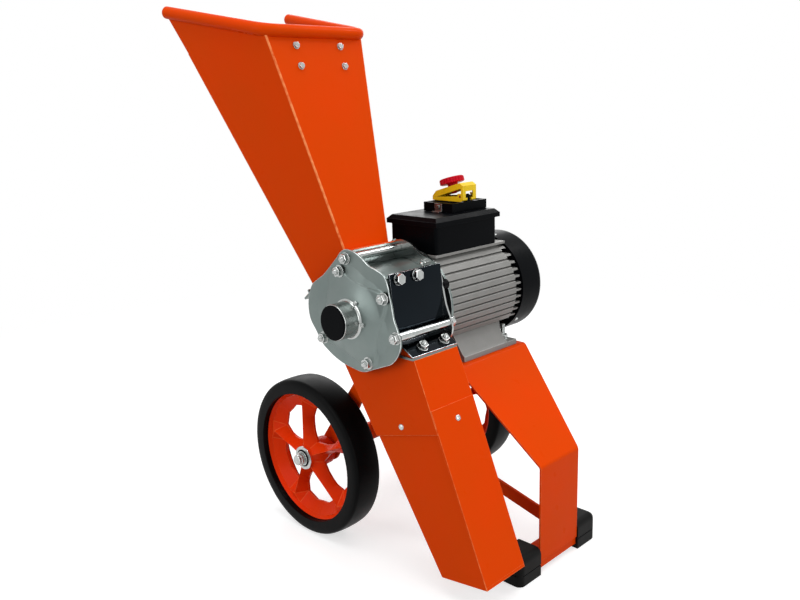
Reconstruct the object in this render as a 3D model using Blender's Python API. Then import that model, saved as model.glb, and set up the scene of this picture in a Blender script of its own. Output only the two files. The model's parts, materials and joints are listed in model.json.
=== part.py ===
"""Electric garden shredder: a direct-drive wood chipper on a two-wheeled stand.

The wheel axle lies along Y above the origin, the discharge chute and the rubber feet are
towards +X, and the motor runs along Y with its cutter drum at the -Y end.
"""

import bmesh
import bpy
from math import asin, atan2, cos, hypot, pi, radians, sin, sqrt, tan
from mathutils import Matrix, Vector

# Clearances
GAP = 0.0003
WELD = 0.0004
THROUGH = 0.02

# Wheels and axle
WHEEL_RADIUS = 0.127
WHEEL_CENTRE_Y = 0.168
TYRE_WIDTH = 0.050
TYRE_SECTION = 0.022
TYRE_BEAD = 0.003
TYRE_BEAD_INSET = 0.001
TYRE_SIDE = 0.006
RIM_WIDTH = 0.042
RIM_WALL = 0.0065
HUB_RADIUS = 0.024
HUB_LENGTH = 0.046
SPOKE_COUNT = 5
SPOKE_ANGLE = radians(97)
SPOKE_HUB_WIDTH = 0.030
SPOKE_RIM_WIDTH = 0.024
SPOKE_DEPTH = 0.022
SPOKE_RIDGE = 0.007
SPOKE_SETBACK = 0.009
AXLE_RADIUS = 0.008
AXLE_THREAD = 0.013
AXLE_WASHER_RADIUS = 0.0195
AXLE_WASHER = 0.0015
AXLE_NUT_WIDTH = 0.023
AXLE_NUT_HEIGHT = 0.0075

# Stand
STAND_SHEET = 0.003
STAND_TOP = 0.296
STAND_TOP_HALF = 0.082
STAND_LEG_HALF = 0.047
STAND_REAR_X = 0.056
STAND_FRONT_X = 0.227
KNEE_X = 0.351
KNEE_Z = 0.1655
LEG_END_Z = 0.020
BEND_RADIUS = 0.009
AXLE_TUBE_RADIUS = 0.015
AXLE_TUBE_HALF = WHEEL_CENTRE_Y - HUB_LENGTH / 2 - GAP
EAR_SETBACK = 0.0077
EAR_OUTER_Y = AXLE_TUBE_HALF - EAR_SETBACK
EAR_SHEET = 0.004
EAR_RADIUS = 0.021
EAR_SHOULDER_Z = 0.2525
CHANNEL_REAR_X = 0.066
CHANNEL_WIDTH = 0.036
CHANNEL_DEPTH = 0.031
TIE_DEPTH = 0.021
TIE_THICKNESS = 0.004
TIE_FRONT_Z = 0.059
TIE_REAR_Z = 0.146
CROSS_TUBE_DEPTH = 0.020
CROSS_TUBE_HEIGHT = 0.030
CROSS_TUBE_Z = 0.007
CROSS_TUBE_HALF = 0.091
CROSS_TUBE_WALL = 0.002
FOOT_INNER_Y = 0.0475
FOOT_OUTER_Y = 0.0968
FOOT_FRONT_X = 0.353
FOOT_DEPTH = 0.040
FOOT_HEIGHT = 0.043
FOOT_EDGE = 0.010
FOOT_GROOVE_Z = 0.016
FOOT_GROOVE = 0.0015

# Cutter housing
AXIS_X = 0.141
AXIS_Z = 0.381
DRUM_RADIUS = 0.068
HOUSING_WALL = 0.003
COVER_Y = -0.200
COVER_SHEET = 0.003
REAR_PLATE_Y = -0.097
REAR_PLATE_SHEET = 0.003
STAR_RADIUS = 0.065
STAR_SWELL = 0.011
STAR_ANGLE = radians(29.5)
STAR_HEIGHT = 0.005
STAR_FLANK = 0.003
STAR_BOLT_RADIUS = 0.066
DOME_RADIUS = 0.052
DOME_HEIGHT = 0.0045
BEARING_TUBE_RADIUS = 0.0255
BEARING_TUBE_END_Y = -0.236
BEARING_FLANGE_RADIUS = 0.038
BEARING_FLANGE = 0.003
BEARING_FILLET = (0.002, 0.004)
BEARING_NUTS_TURN = radians(20)
PLUG_RADIUS = 0.0245
PLUG_FACE = 0.0022
PLUG_DEPTH = 0.006
PLUG_EDGE = 0.0008
REAR_BOLT_RADIUS = 0.0765
REAR_BOLT_ANGLE = radians(57)
REAR_BORE_MARGIN = 0.004
STUD_RADIUS = 0.004
STUD_SLEEVE_RADIUS = 0.0055
STUD_UPPER = (0.132, 0.4635)
STUD_LOWER = (0.2255, 0.3665)
NUT_WIDTH = 0.013
NUT_HEIGHT = 0.0062
BOLT_TAIL = 0.003
STUD_TAIL = 0.001
STUD_NUT_TURN = radians(23)
SMALL_NUT_WIDTH = 0.008
SMALL_NUT_HEIGHT = 0.004
SMALL_BOLT_RADIUS = 0.0025

# Inlet flange, an inclined plane tangent to the top left of the drum
INLET_TILT = radians(38.4)
INLET_REACH = 0.0815
INLET_FRONT = 0.0285
INLET_REAR = -0.0648
INLET_LIP_FRONT = 0.0135
INLET_LIP_REAR = 0.0255
INLET_LIP_FAR = 0.0135
INLET_BOLT_Y = -0.0889
INLET_BOLT_SETBACK = 0.0062

# Outlet flange, side plate and chute
CHUTE_NEAR_Y = -0.1845
CHUTE_FAR_Y = -0.0975
CHUTE_TOP_Z = 0.335
CHUTE_TOP_REAR_X = 0.079
CHUTE_TOP_FRONT_X = 0.242
CHUTE_END_REAR = (0.280, 0.029)
CHUTE_END_FRONT = (0.365, 0.042)
CHUTE_SEAM_REAR_Z = 0.207
CHUTE_SEAM_FRONT_Z = 0.240
CHUTE_LAP = 0.025
CHUTE_SHEET = 0.002
OUTLET_FLANGE = 0.003
OUTLET_REAR_X = 0.086
OUTLET_BOLT_X = 0.229
OUTLET_BOLTS_Y = (-0.1584, -0.1149)
SIDE_PLATE_X = 0.213
SIDE_PLATE_SHEET = 0.003
SIDE_PLATE_TOP_Z = 0.450
SIDE_PLATE_BEND_Z = 0.423
SIDE_PLATE_LEAN = 0.0035
SIDE_BOLT_Z = 0.4415
SIDE_BOLTS_Y = (-0.181, -0.146)
COUNTER_HALF = 0.0065
COUNTER_ANGLE = radians(45)
COUNTER_BEVEL = (0.005, 0.004)

# Hopper
HOPPER_MID_Y = -0.141
HOPPER_SHEET = 0.002
THROAT_HALF = 0.0425
HOPPER_FLARE = radians(8.92)
RIM_TUBE_RADIUS = 0.009
RIM_FRONT = (0.021, 0.7695)
RIM_REAR = (-0.185, 0.808)
RIM_BEND = 0.018
BACK_PANEL_DROP = 0.060
FLAP_HALF = 0.050
FLAP_SHEET = 0.003
FLAP_HANG_Z = 0.540
CLAMP_HALF = 0.048
CLAMP_SHEET = 0.003
CLAMP_BOTTOM_Z = 0.712
CLAMP_TOP_Z = 0.757
HOPPER_SCREW_HALF = 0.0405
HOPPER_SCREWS_Z = (0.722, 0.750)
HOPPER_SCREW_HEAD = 0.0045
HOPPER_SCREW_HEIGHT = 0.0028

# Motor
MOTOR_FRONT_Y = -0.078
MOTOR_REAR_Y = 0.082
MOTOR_CORE_RADIUS = 0.066
MOTOR_BORE_RADIUS = 0.0603
FIN_TIP_RADIUS = 0.078
FIN_THICKNESS = 0.003
FIN_PITCH = 0.0105
FIN_LOWEST = -4
PAD_HALF = 0.046
PAD_THICKNESS = 0.004
PAD_WEB_HALF = 0.018
MOTOR_PAD_HEIGHT = 0.073
FOOT_RAIL_HALF = 0.080
FOOT_RAIL_FRONT_Y = -0.057
FOOT_RAIL_LENGTH = 0.125
FOOT_RAIL_FLANGE = 0.008
FOOT_SADDLE_LOW = radians(-66.8)
FOOT_WEB_INNER = 0.034
FOOT_WEB_RISE = 0.012
FOOT_INNER = 0.040
FOOT_WEB_OUTER = 0.0755
FOOT_WEB_STEP = 0.004
FOOT_WEB_TOP = 0.0575
FOOT_POCKET = 0.011
FOOT_POCKET_HEIGHT = 0.026
FOOT_HOLE_HALF_X = 0.0625
FOOT_HOLE_HALF_Y = 0.050
FOOT_BOLT_RADIUS = 0.004
SHIELD_RADIUS = 0.075
SHIELD_NECK_RADIUS = 0.068
SHIELD_LIP = 0.0025
SHIELD_LIP_DEPTH = 0.004
SHIELD_TRIM = 0.002
SHIELD_LUG_RADIUS = 0.0075
SHIELD_LUG_OUT = 0.003
SHIELD_LUG_ANGLE = radians(28)
RING_RADIUS = 0.080
RING_FRONT_Y = -0.0835
RING_THICKNESS = 0.004
COVER_RADIUS = 0.0804
COVER_WALL = 0.0018
COVER_FRONT_Y = 0.084
COVER_REAR_Y = 0.138
COVER_ROUND = 0.010
REAR_SHIELD_SHEET = 0.008
REAR_BOSS_RADIUS = 0.026
REAR_BOSS_FILLET = 0.004
REAR_BOSS_HEIGHT = 0.008
GRILLE_SLOTS = 16
GRILLE_SLOT_WIDTH = 0.005
GRILLE_INNER = 0.024
GRILLE_OUTER = 0.062

# Rotor
JOURNAL_RADIUS = 0.0085
SHAFT_RADIUS = 0.0125
SHAFT_SHOULDER = 0.004
SHAFT_TAIL = 0.001
SHAFT_END_MARGIN = 0.010
BEARING_RADIUS = 0.020
BEARING_WIDTH = 0.012
BEARING_GROOVE = 0.001
FRONT_BEARING_SETBACK = 0.008
ROTOR_RADIUS = 0.050
ROTOR_FRONT_Y = -0.181
ROTOR_LENGTH = 0.077
COUNTER_FRONT_Y = -0.190
KNIFE_SEAT = 0.038
KNIFE_SHEET = 0.006
KNIFE_TIP = 0.0335
KNIFE_HEEL = 0.014
KNIFE_MARGIN = 0.002
KNIFE_BEVEL = 0.007
KNIFE_CLEARANCE = 0.002
KNIFE_BOLT_WIDTH = 0.010
KNIFE_BOLT_HEIGHT = 0.004
CORE_RADIUS = 0.037
STATOR_BORE = 0.0376
STATOR_LENGTH = 0.090
WINDING_LENGTH = 0.016
WINDING_INNER = 0.003
WINDING_OUTER = 0.004
WINDING_TAPER = 0.006
FAN_RADIUS = 0.062
FAN_BLADES = 8
FAN_BLADE = 0.002
FAN_HUB_RADIUS = 0.015
FAN_DISC_RADIUS = 0.050
FAN_DISC = 0.002
FAN_SETBACK = 0.022
FAN_MARGIN = 0.004
FAN_BLADE_MARGIN = 0.006

# Switch box
BOX_HALF_X = 0.046
BOX_FRONT_Y = -0.0765
BOX_REAR_Y = 0.0607
BOX_HEIGHT = 0.0437
BOX_WALL = 0.0025
BOX_CORNER = 0.005
LID_OVERHANG = 0.004
LID_HEIGHT = 0.009
LID_CHAMFER = 0.006
SWITCH_HALF_X = 0.029
SWITCH_FRONT_Y = -0.021
SWITCH_LENGTH = 0.079
SWITCH_HEIGHT = 0.0135
SWITCH_RIM = 0.004
RECESS_DEPTH = 0.0015
RECESS_MARGIN = 0.003
WELL_FLOOR = 0.002
CLIP_OFFSET = 0.002
CLIP_HALF = 0.007
CLIP_SHEET = 0.0015
CLIP_TAB = 0.008
CLIP_TOP_GAP = 0.001
CLIP_SCREW_RADIUS = 0.0032
CLIP_SCREW_HEIGHT = 0.0075
CLIP_SCREW_HEAD = 0.002
GUARD_MID_Y = 0.018
GUARD_HALF_Y = 0.0155
GUARD_WALL = 0.002
GUARD_TIP_OVERHANG = 0.003
GUARD_TIP_HEIGHT = 0.014
GUARD_TOP_HEIGHT = 0.028
GUARD_CHAMFER = 0.004
GUARD_SHOULDER = 0.007
GUARD_NOSE = 0.006
WINDOW_LOW = 0.005
WINDOW_HIGH = 0.020
WINDOW_TIP = 0.008
WINDOW_BACK = 0.004
WINDOW_SILL = 0.008
PIN_EYE = 0.0045
END_WINDOW_HALF = 0.0085
END_WINDOW_LOW = 0.0055
END_WINDOW_HIGH = 0.0155
GUARD_HINGE_SETBACK = 0.006
GUARD_HINGE_HEIGHT = 0.0078
HINGE_POST_RADIUS = 0.0034
HINGE_POST_HALF = 0.004
HINGE_NOTCH_HEIGHT = 0.005
HINGE_PIN_RADIUS = 0.0018
MUSHROOM_X = 0.138
MUSHROOM_RADIUS = 0.019
MUSHROOM_CAP = 0.009
MUSHROOM_EDGE = 0.002
MUSHROOM_CROWN = 0.003
MUSHROOM_STEM_RADIUS = 0.008
MUSHROOM_STEM_DEPTH = 0.006
MUSHROOM_LIFT = 0.0045
MUSHROOM_TRAVEL = 0.004
PLUNGER_RADIUS = 0.004
BUTTON_HALF_X = 0.007
BUTTON_HALF_Y = 0.009
BUTTON_RISE = 0.003
BUTTON_SEAT = 0.006
STOP_BUTTON_X = 0.1425
START_BUTTON_X = 0.1225
GLAND_RADIUS = 0.006
GLAND_BORE = 0.0035
GLAND_NUT_WIDTH = 0.015
GLAND_NUT = 0.004
GLAND_COLLAR = 0.009
GLAND_OFFSET = 0.030
GLAND_HEIGHT = 0.022
CAPACITOR_RADIUS = 0.018
CAPACITOR_LENGTH = 0.080
CAPACITOR_MARGIN = 0.012
CAPACITOR_OFFSET = 0.020

# Lobed outline shared by the front cover and the rear plate, as (degrees, radius) round the axis
LOBE_OUTLINE = (
    (99, 0.0950), (87, 0.0940), (78, 0.0900), (66, 0.0850), (56, 0.0885), (46, 0.0925),
    (38, 0.0895), (28, 0.0836), (8, 0.0808), (-3, 0.0870), (-13, 0.0945), (-23, 0.0950),
    (-35, 0.0910), (-46, 0.0830), (-60, 0.0778), (-78, 0.0775), (-95, 0.0745), (-116, 0.0765),
    (-132, 0.0805), (-146, 0.0860), (-158, 0.0885), (-170, 0.0955), (-182, 0.0970),
    (-194, 0.0955), (-203, 0.0925), (-211, 0.0860), (-221, 0.0800), (-236, 0.0800), (-249, 0.0855),
)

AXIS = Vector((AXIS_X, 0.0, AXIS_Z))
SHAFT_LINE = (AXIS_X, AXIS_Z)
WHEEL_AXIS = (0.0, WHEEL_RADIUS)
GLAND_SPOT = (AXIS_X + GLAND_OFFSET, AXIS_Z + MOTOR_PAD_HEIGHT + GLAND_HEIGHT)
INLET_ALONG = Vector((cos(INLET_TILT), 0.0, sin(INLET_TILT)))
INLET_OUT = Vector((-sin(INLET_TILT), 0.0, cos(INLET_TILT)))
HOUSING_FRONT_Y = COVER_Y + COVER_SHEET + GAP
HOUSING_REAR_Y = REAR_PLATE_Y - GAP


def clear_scene():
    for thing in list(bpy.data.objects):
        bpy.data.objects.remove(thing, do_unlink=True)


def material(name, colour, roughness, metallic=0.0):
    """Make a Principled material from a colour, a roughness and a metallic value."""
    look = bpy.data.materials.new(name)
    look.use_nodes = True
    shader = look.node_tree.nodes["Principled BSDF"]
    shader.inputs["Base Color"].default_value = (*colour, 1.0)
    shader.inputs["Roughness"].default_value = roughness
    shader.inputs["Metallic"].default_value = metallic
    return look


def tidy(form):
    """Merge the seam of a form and turn its faces outwards."""
    bmesh.ops.remove_doubles(form, verts=form.verts, dist=1e-6)
    bmesh.ops.recalc_face_normals(form, faces=form.faces)
    return form


def place(form, axis):
    """Turn a form built along Z so that it runs along the named axis, keeping (u, v) as (x, z) or (y, z)."""
    turns = {
        "Z": Matrix.Identity(4),
        "Y": Matrix(((1, 0, 0, 0), (0, 0, 1, 0), (0, 1, 0, 0), (0, 0, 0, 1))),
        "X": Matrix(((0, 0, 1, 0), (1, 0, 0, 0), (0, 1, 0, 0), (0, 0, 0, 1))),
    }
    bmesh.ops.transform(form, matrix=turns[axis], verts=form.verts)
    return tidy(form)


def extruded(outline, start, end, axis="Y"):
    """Extrude a closed outline of (u, v) pairs from start to end along an axis."""
    form = bmesh.new()
    face = form.faces.new([form.verts.new((u, v, start)) for u, v in outline])
    swept = bmesh.ops.extrude_face_region(form, geom=[face])
    moved = [item for item in swept["geom"] if isinstance(item, bmesh.types.BMVert)]
    bmesh.ops.translate(form, vec=(0, 0, end - start), verts=moved)
    return place(form, axis)


def lofted(lower, upper, start, end, axis="Y"):
    """Join two outlines with the same number of points, one at start and one at end."""
    form = framed([(u, v, start) for u, v in lower], [(u, v, end) for u, v in upper])
    return place(form, axis)


def framed(*rings):
    """A solid skinned over rings of points that follow one another."""
    form = bmesh.new()
    rings = [[form.verts.new(point) for point in ring] for ring in rings]
    for first, second in zip(rings, rings[1:]):
        for index in range(len(first)):
            after = (index + 1) % len(first)
            form.faces.new((first[index], first[after], second[after], second[index]))
    form.faces.new(rings[0])
    form.faces.new(rings[-1])
    return tidy(form)


def turned(profile, axis="Y", centre=(0.0, 0.0), segments=32):
    """Spin a closed profile of (radius, place along the axis) pairs round an axis."""
    form = bmesh.new()
    face = form.faces.new([form.verts.new((radius, 0.0, along)) for radius, along in profile])
    edges = list(face.edges)
    bmesh.ops.spin(form, geom=edges + list(face.verts), axis=(0, 0, 1), cent=(0, 0, 0),
                   dvec=(0, 0, 0), angle=2 * pi, steps=segments, use_merge=True)
    bmesh.ops.delete(form, geom=[face], context="FACES_ONLY")
    bmesh.ops.remove_doubles(form, verts=form.verts, dist=1e-6)
    flat = [item for item in form.faces if item.calc_area() < 1e-14]
    bmesh.ops.delete(form, geom=flat, context="FACES_ONLY")
    bmesh.ops.delete(form, geom=[edge for edge in form.edges if not edge.link_faces], context="EDGES")
    bmesh.ops.translate(form, vec=(centre[0], centre[1], 0.0), verts=form.verts)
    return place(form, axis)


def rod(radius, start, end, axis="Y", centre=(0.0, 0.0), segments=20):
    """A plain cylinder between two places along an axis."""
    outline = circle(radius, segments, centre)
    return extruded(outline, start, end, axis)


def pipe(outer, inner, start, end, axis="Y", centre=(0.0, 0.0), segments=24):
    """A tube with square ends."""
    profile = ((inner, start), (outer, start), (outer, end), (inner, end))
    return turned(profile, axis, centre, segments)


def block(low, high):
    """A box between two opposite corners."""
    outline = ((low[0], low[1]), (high[0], low[1]), (high[0], high[1]), (low[0], high[1]))
    return extruded(outline, low[2], high[2], "Z")


def hexagon(width, start, end, axis="Y", centre=(0.0, 0.0), turn=0.0):
    """A nut or bolt head, width across flats."""
    outline = circle(width / sqrt(3), 6, centre, turn)
    return extruded(outline, start, end, axis)


def bolt_form(width, height, shank, low, high, centre=(0.0, 0.0), tail=0.0):
    """A bolt along Z whose head and nut grip from low to high, with a tail below the nut."""
    corner = width / sqrt(3)
    profile = ((0.0, low - height - tail), (shank, low - height - tail), (shank, low - height),
               (corner, low - height), (corner, low), (shank, low), (shank, high), (corner, high),
               (corner, high + height), (0.0, high + height))
    if not tail:
        profile = profile[:1] + profile[3:]
    return turned(profile, "Z", centre, 6)


def circle(radius, count, centre=(0.0, 0.0), turn=0.0):
    """Points round a circle."""
    steps = (turn + 2 * pi * index / count for index in range(count))
    return [(centre[0] + radius * cos(step), centre[1] + radius * sin(step)) for step in steps]


def shifted(form, vector):
    bmesh.ops.translate(form, vec=vector, verts=form.verts)
    return form


def mirrored(form):
    """Reflect a form across the XZ plane."""
    bmesh.ops.transform(form, matrix=Matrix.Scale(-1, 4, (0, 1, 0)), verts=form.verts)
    bmesh.ops.reverse_faces(form, faces=form.faces)
    return form


def loose_object(form):
    mesh = bpy.data.meshes.new("form")
    form.to_mesh(mesh)
    form.free()
    thing = bpy.data.objects.new("form", mesh)
    bpy.context.scene.collection.objects.link(thing)
    return thing


def boolean(base, tool, operation):
    """Return the exact Boolean of two closed forms as a new form."""
    body = loose_object(base)
    other = loose_object(tool)
    change = body.modifiers.new("shape", "BOOLEAN")
    change.operation = operation
    change.object = other
    graph = bpy.context.evaluated_depsgraph_get()
    graph.update()
    result = bmesh.new()
    result.from_mesh(body.evaluated_get(graph).to_mesh())
    bmesh.ops.remove_doubles(result, verts=result.verts, dist=1e-5)
    bmesh.ops.dissolve_degenerate(result, dist=1e-5, edges=result.edges)
    for thing in (body, other):
        mesh = thing.data
        bpy.data.objects.remove(thing, do_unlink=True)
        bpy.data.meshes.remove(mesh)
    return result


def joined(first, *others):
    for other in others:
        first = boolean(first, other, "UNION")
    return first


def cut(first, *others):
    for other in others:
        first = boolean(first, other, "DIFFERENCE")
    return first


def gathered(forms):
    """Put forms that don't touch into one cutter."""
    whole = forms[0]
    for form in forms[1:]:
        mesh = bpy.data.meshes.new("part")
        form.to_mesh(mesh)
        form.free()
        whole.from_mesh(mesh)
        bpy.data.meshes.remove(mesh)
    return whole


def empty(name, location, parent=None):
    """An empty on a joint's axis, given in world coordinates."""
    thing = bpy.data.objects.new(name, None)
    thing.empty_display_size = 0.03
    thing.location = Vector(location) - (parent.location if parent else Vector())
    thing.parent = parent
    bpy.context.scene.collection.objects.link(thing)
    return thing


def world_place(thing):
    place_here = Vector()
    while thing:
        place_here = place_here + thing.location
        thing = thing.parent
    return place_here


def piece(name, form, look, carrier=None, edge=None, smooth=35):
    """Name a form as one piece of the machine, carried by an empty and bevelled if asked."""
    centre = world_place(carrier)
    shifted(form, -centre)
    mesh = bpy.data.meshes.new(name)
    form.to_mesh(mesh)
    form.free()
    mesh.materials.append(look)
    mesh.shade_smooth()
    mesh.set_sharp_from_angle(angle=radians(smooth))
    thing = bpy.data.objects.new(name, mesh)
    thing.parent = carrier
    bpy.context.scene.collection.objects.link(thing)
    if edge:
        bevel = thing.modifiers.new("edges", "BEVEL")
        bevel.width = edge
        bevel.segments = 2
        bevel.limit_method = "ANGLE"
        bevel.angle_limit = radians(50)
    return thing


def rounded_path(corners, radius, steps=3):
    """Round the inner corners of an open path of (x, z) pairs with arcs."""
    path = [Vector(corners[0])]
    for before, corner, after in zip(corners, corners[1:], corners[2:]):
        here = Vector(corner)
        back = (Vector(before) - here).normalized()
        ahead = (Vector(after) - here).normalized()
        half = back.angle(ahead) / 2
        reach = radius / sin(half) * cos(half)
        middle = here + (back + ahead).normalized() * radius / sin(half)
        start = here + back * reach - middle
        end = here + ahead * reach - middle
        for step in range(steps + 1):
            arm = start.lerp(end, step / steps).normalized() * radius
            path.append(middle + arm)
    path.append(Vector(corners[-1]))
    return path


def offset_path(path, distance):
    """Move an open path to its right-hand side by a distance, mitred at each point."""
    moved = []
    for index, here in enumerate(path):
        before = (here - path[index - 1]).normalized() if index else None
        after = (path[index + 1] - here).normalized() if index + 1 < len(path) else None
        lead = before or after
        trail = after or before
        side = Vector((lead.y, -lead.x)) + Vector((trail.y, -trail.x))
        side.normalize()
        spread = side.dot(Vector((lead.y, -lead.x)))
        moved.append(here + side * distance / spread)
    return moved


def smooth_outline(controls, steps=2):
    """A closed curve through (degrees, radius) controls round the drum axis."""
    points = [Vector((AXIS_X + r * cos(radians(a)), AXIS_Z + r * sin(radians(a)))) for a, r in controls]
    count = len(points)
    curve = []
    for index, here in enumerate(points):
        before = points[index - 1]
        after = points[(index + 1) % count]
        beyond = points[(index + 2) % count]
        for step in range(steps):
            t = step / steps
            curve.append((2 * here + (after - before) * t
                          + (2 * before - 5 * here + 4 * after - beyond) * t * t
                          + (3 * here - before - 3 * after + beyond) * t ** 3) / 2)
    return [(point.x, point.y) for point in curve]


def star(shrink=0.0, count=56):
    """Outline of the four-pointed pressing, smaller by shrink all round."""
    outline = []
    for index in range(count):
        angle = 2 * pi * index / count
        radius = STAR_RADIUS + STAR_SWELL * cos(4 * (angle - STAR_ANGLE)) - shrink
        outline.append((AXIS_X + radius * cos(angle), AXIS_Z + radius * sin(angle)))
    return outline


def inlet_point(along, out, y=0.0):
    """World point from a place along the inlet flange and a height over its seat."""
    return AXIS + INLET_ALONG * along + INLET_OUT * (INLET_REACH + out) + Vector((0, y, 0))


def inlet_slab(along, out, across):
    """A box square to the inlet flange, from ranges along it, out of it and across it in Y."""
    places = ((along[0], out[0]), (along[1], out[0]), (along[1], out[1]), (along[0], out[1]))
    corners = [inlet_point(*spot) for spot in places]
    return extruded([(corner.x, corner.z) for corner in corners], across[0], across[1])


def on_inlet(form, along, y):
    """Stand a form made round Z square on the inlet flange."""
    turn = Matrix.Translation(inlet_point(along, 0.0, y)) @ Matrix.Rotation(-INLET_TILT, 4, "Y")
    bmesh.ops.transform(form, matrix=turn, verts=form.verts)
    return form


def hopper_half(x, z):
    """Half width of the hopper at a point of its side view."""
    out = INLET_OUT.dot(Vector((x, 0, z)) - AXIS) - INLET_REACH
    return THROAT_HALF + tan(HOPPER_FLARE) * out


def chute_line(top_x, end, z):
    """X of a sloping chute wall at height z."""
    share = (CHUTE_TOP_Z - z) / (CHUTE_TOP_Z - end[1])
    return top_x + (end[0] - top_x) * share


def parallel(outline, distances):
    """Move each edge of a convex anticlockwise outline inwards by its own distance."""
    lines = []
    for index, start in enumerate(outline):
        start, end = Vector(start), Vector(outline[(index + 1) % len(outline)])
        direction = (end - start).normalized()
        inward = Vector((-direction.y, direction.x))
        lines.append((start + inward * distances[index], direction))
    moved = []
    for index, (point, direction) in enumerate(lines):
        other, heading = lines[index - 1]
        cross = heading.x * direction.y - heading.y * direction.x
        gap = point - other
        share = (gap.x * direction.y - gap.y * direction.x) / cross
        corner = other + heading * share
        moved.append((corner.x, corner.y))
    return moved


def stand_strap():
    """The bent steel strap: rear leg, motor plate, sloping front and front leg."""
    corners = ((-STAND_SHEET / 2, WHEEL_RADIUS), (STAND_REAR_X, STAND_TOP), (STAND_FRONT_X, STAND_TOP),
               (KNEE_X, KNEE_Z), (KNEE_X, LEG_END_Z))
    outer = rounded_path(corners, BEND_RADIUS)
    inner = offset_path(outer, STAND_SHEET)
    rings = []
    for out, back in zip(outer, inner):
        foot = KNEE_Z if out.x > STAND_REAR_X + BEND_RADIUS else WHEEL_RADIUS
        slope = (out.y - foot) / (STAND_TOP - foot)
        half = STAND_LEG_HALF + (STAND_TOP_HALF - STAND_LEG_HALF) * min(max(slope, 0.0), 1.0)
        rings.append([(out.x, -half, out.y), (out.x, half, out.y),
                      (back.x, half, back.y), (back.x, -half, back.y)])
    return framed(*rings)


def axle_ear():
    """Side plate that holds the axle tube, rounded about the axle."""
    rear_top = Vector((CHANNEL_REAR_X, EAR_SHOULDER_Z))
    front_top = Vector((CHANNEL_REAR_X + CHANNEL_WIDTH, STAND_TOP - STAND_SHEET - CHANNEL_DEPTH))
    hub = Vector((0.0, WHEEL_RADIUS))
    outline = []
    rear_start = tangent_angle(hub, rear_top, EAR_RADIUS, 1)
    front_end = tangent_angle(hub, front_top, EAR_RADIUS, -1)
    sweep = (front_end - rear_start) % (2 * pi)
    for step in range(13):
        angle = rear_start + sweep * step / 12
        outline.append((hub.x + EAR_RADIUS * cos(angle), hub.y + EAR_RADIUS * sin(angle)))
    top = STAND_TOP - STAND_SHEET
    outline += [tuple(front_top), (front_top.x, top), (rear_top.x, top), tuple(rear_top)]
    return extruded(outline, EAR_OUTER_Y - EAR_SHEET, EAR_OUTER_Y)


def tangent_angle(centre, point, radius, side):
    """Angle round a circle where the tangent through a point touches it."""
    away = point - centre
    spread = radius / away.length
    return atan2(away.y, away.x) + side * (pi / 2 - atan2(spread, sqrt(1 - spread * spread)))


def stand_frame():
    top = STAND_TOP - STAND_SHEET
    rear = CHANNEL_REAR_X
    front = rear + CHANNEL_WIDTH
    low = top - CHANNEL_DEPTH
    channel = extruded(((rear, low), (rear + STAND_SHEET, low), (rear + STAND_SHEET, top - STAND_SHEET),
                        (front - STAND_SHEET, top - STAND_SHEET), (front - STAND_SHEET, low), (front, low),
                        (front, top + WELD), (rear, top + WELD)), -EAR_OUTER_Y + WELD, EAR_OUTER_Y - WELD)
    ear = axle_ear()
    far_ear = ear.copy()
    tube = rod(AXLE_TUBE_RADIUS, -AXLE_TUBE_HALF, AXLE_TUBE_HALF, centre=WHEEL_AXIS, segments=32)
    leg_back = KNEE_X - STAND_SHEET
    tie = extruded(((0.0, TIE_REAR_Z - TIE_DEPTH / 2), (leg_back + WELD, TIE_FRONT_Z - TIE_DEPTH / 2),
                    (leg_back + WELD, TIE_FRONT_Z + TIE_DEPTH / 2), (0.0, TIE_REAR_Z + TIE_DEPTH / 2)),
                   -TIE_THICKNESS / 2, TIE_THICKNESS / 2)
    cross = block((leg_back - CROSS_TUBE_DEPTH, -CROSS_TUBE_HALF, CROSS_TUBE_Z),
                  (leg_back + WELD, CROSS_TUBE_HALF, CROSS_TUBE_Z + CROSS_TUBE_HEIGHT))
    wall = CROSS_TUBE_WALL
    hollow = block((leg_back - CROSS_TUBE_DEPTH + wall, -CROSS_TUBE_HALF - wall, CROSS_TUBE_Z + wall),
                   (leg_back - wall, CROSS_TUBE_HALF + wall, CROSS_TUBE_Z + CROSS_TUBE_HEIGHT - wall))
    frame = joined(stand_strap(), channel, ear, mirrored(far_ear), tube, tie, cross)
    bore = rod(AXLE_RADIUS + GAP, -AXLE_TUBE_HALF - THROUGH, AXLE_TUBE_HALF + THROUGH,
               centre=WHEEL_AXIS, segments=32)
    holes = gathered([rod(FOOT_BOLT_RADIUS + GAP, low, STAND_TOP + THROUGH, "Z", spot, 12)
                      for spot in motor_bolt_spots()])
    return cut(frame, bore, hollow, holes)


def motor_bolt_spots():
    middle = FOOT_RAIL_FRONT_Y + FOOT_RAIL_LENGTH / 2
    return [(AXIS_X + across * FOOT_HOLE_HALF_X, middle + along * FOOT_HOLE_HALF_Y)
            for across in (-1, 1) for along in (-1, 1)]


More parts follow.
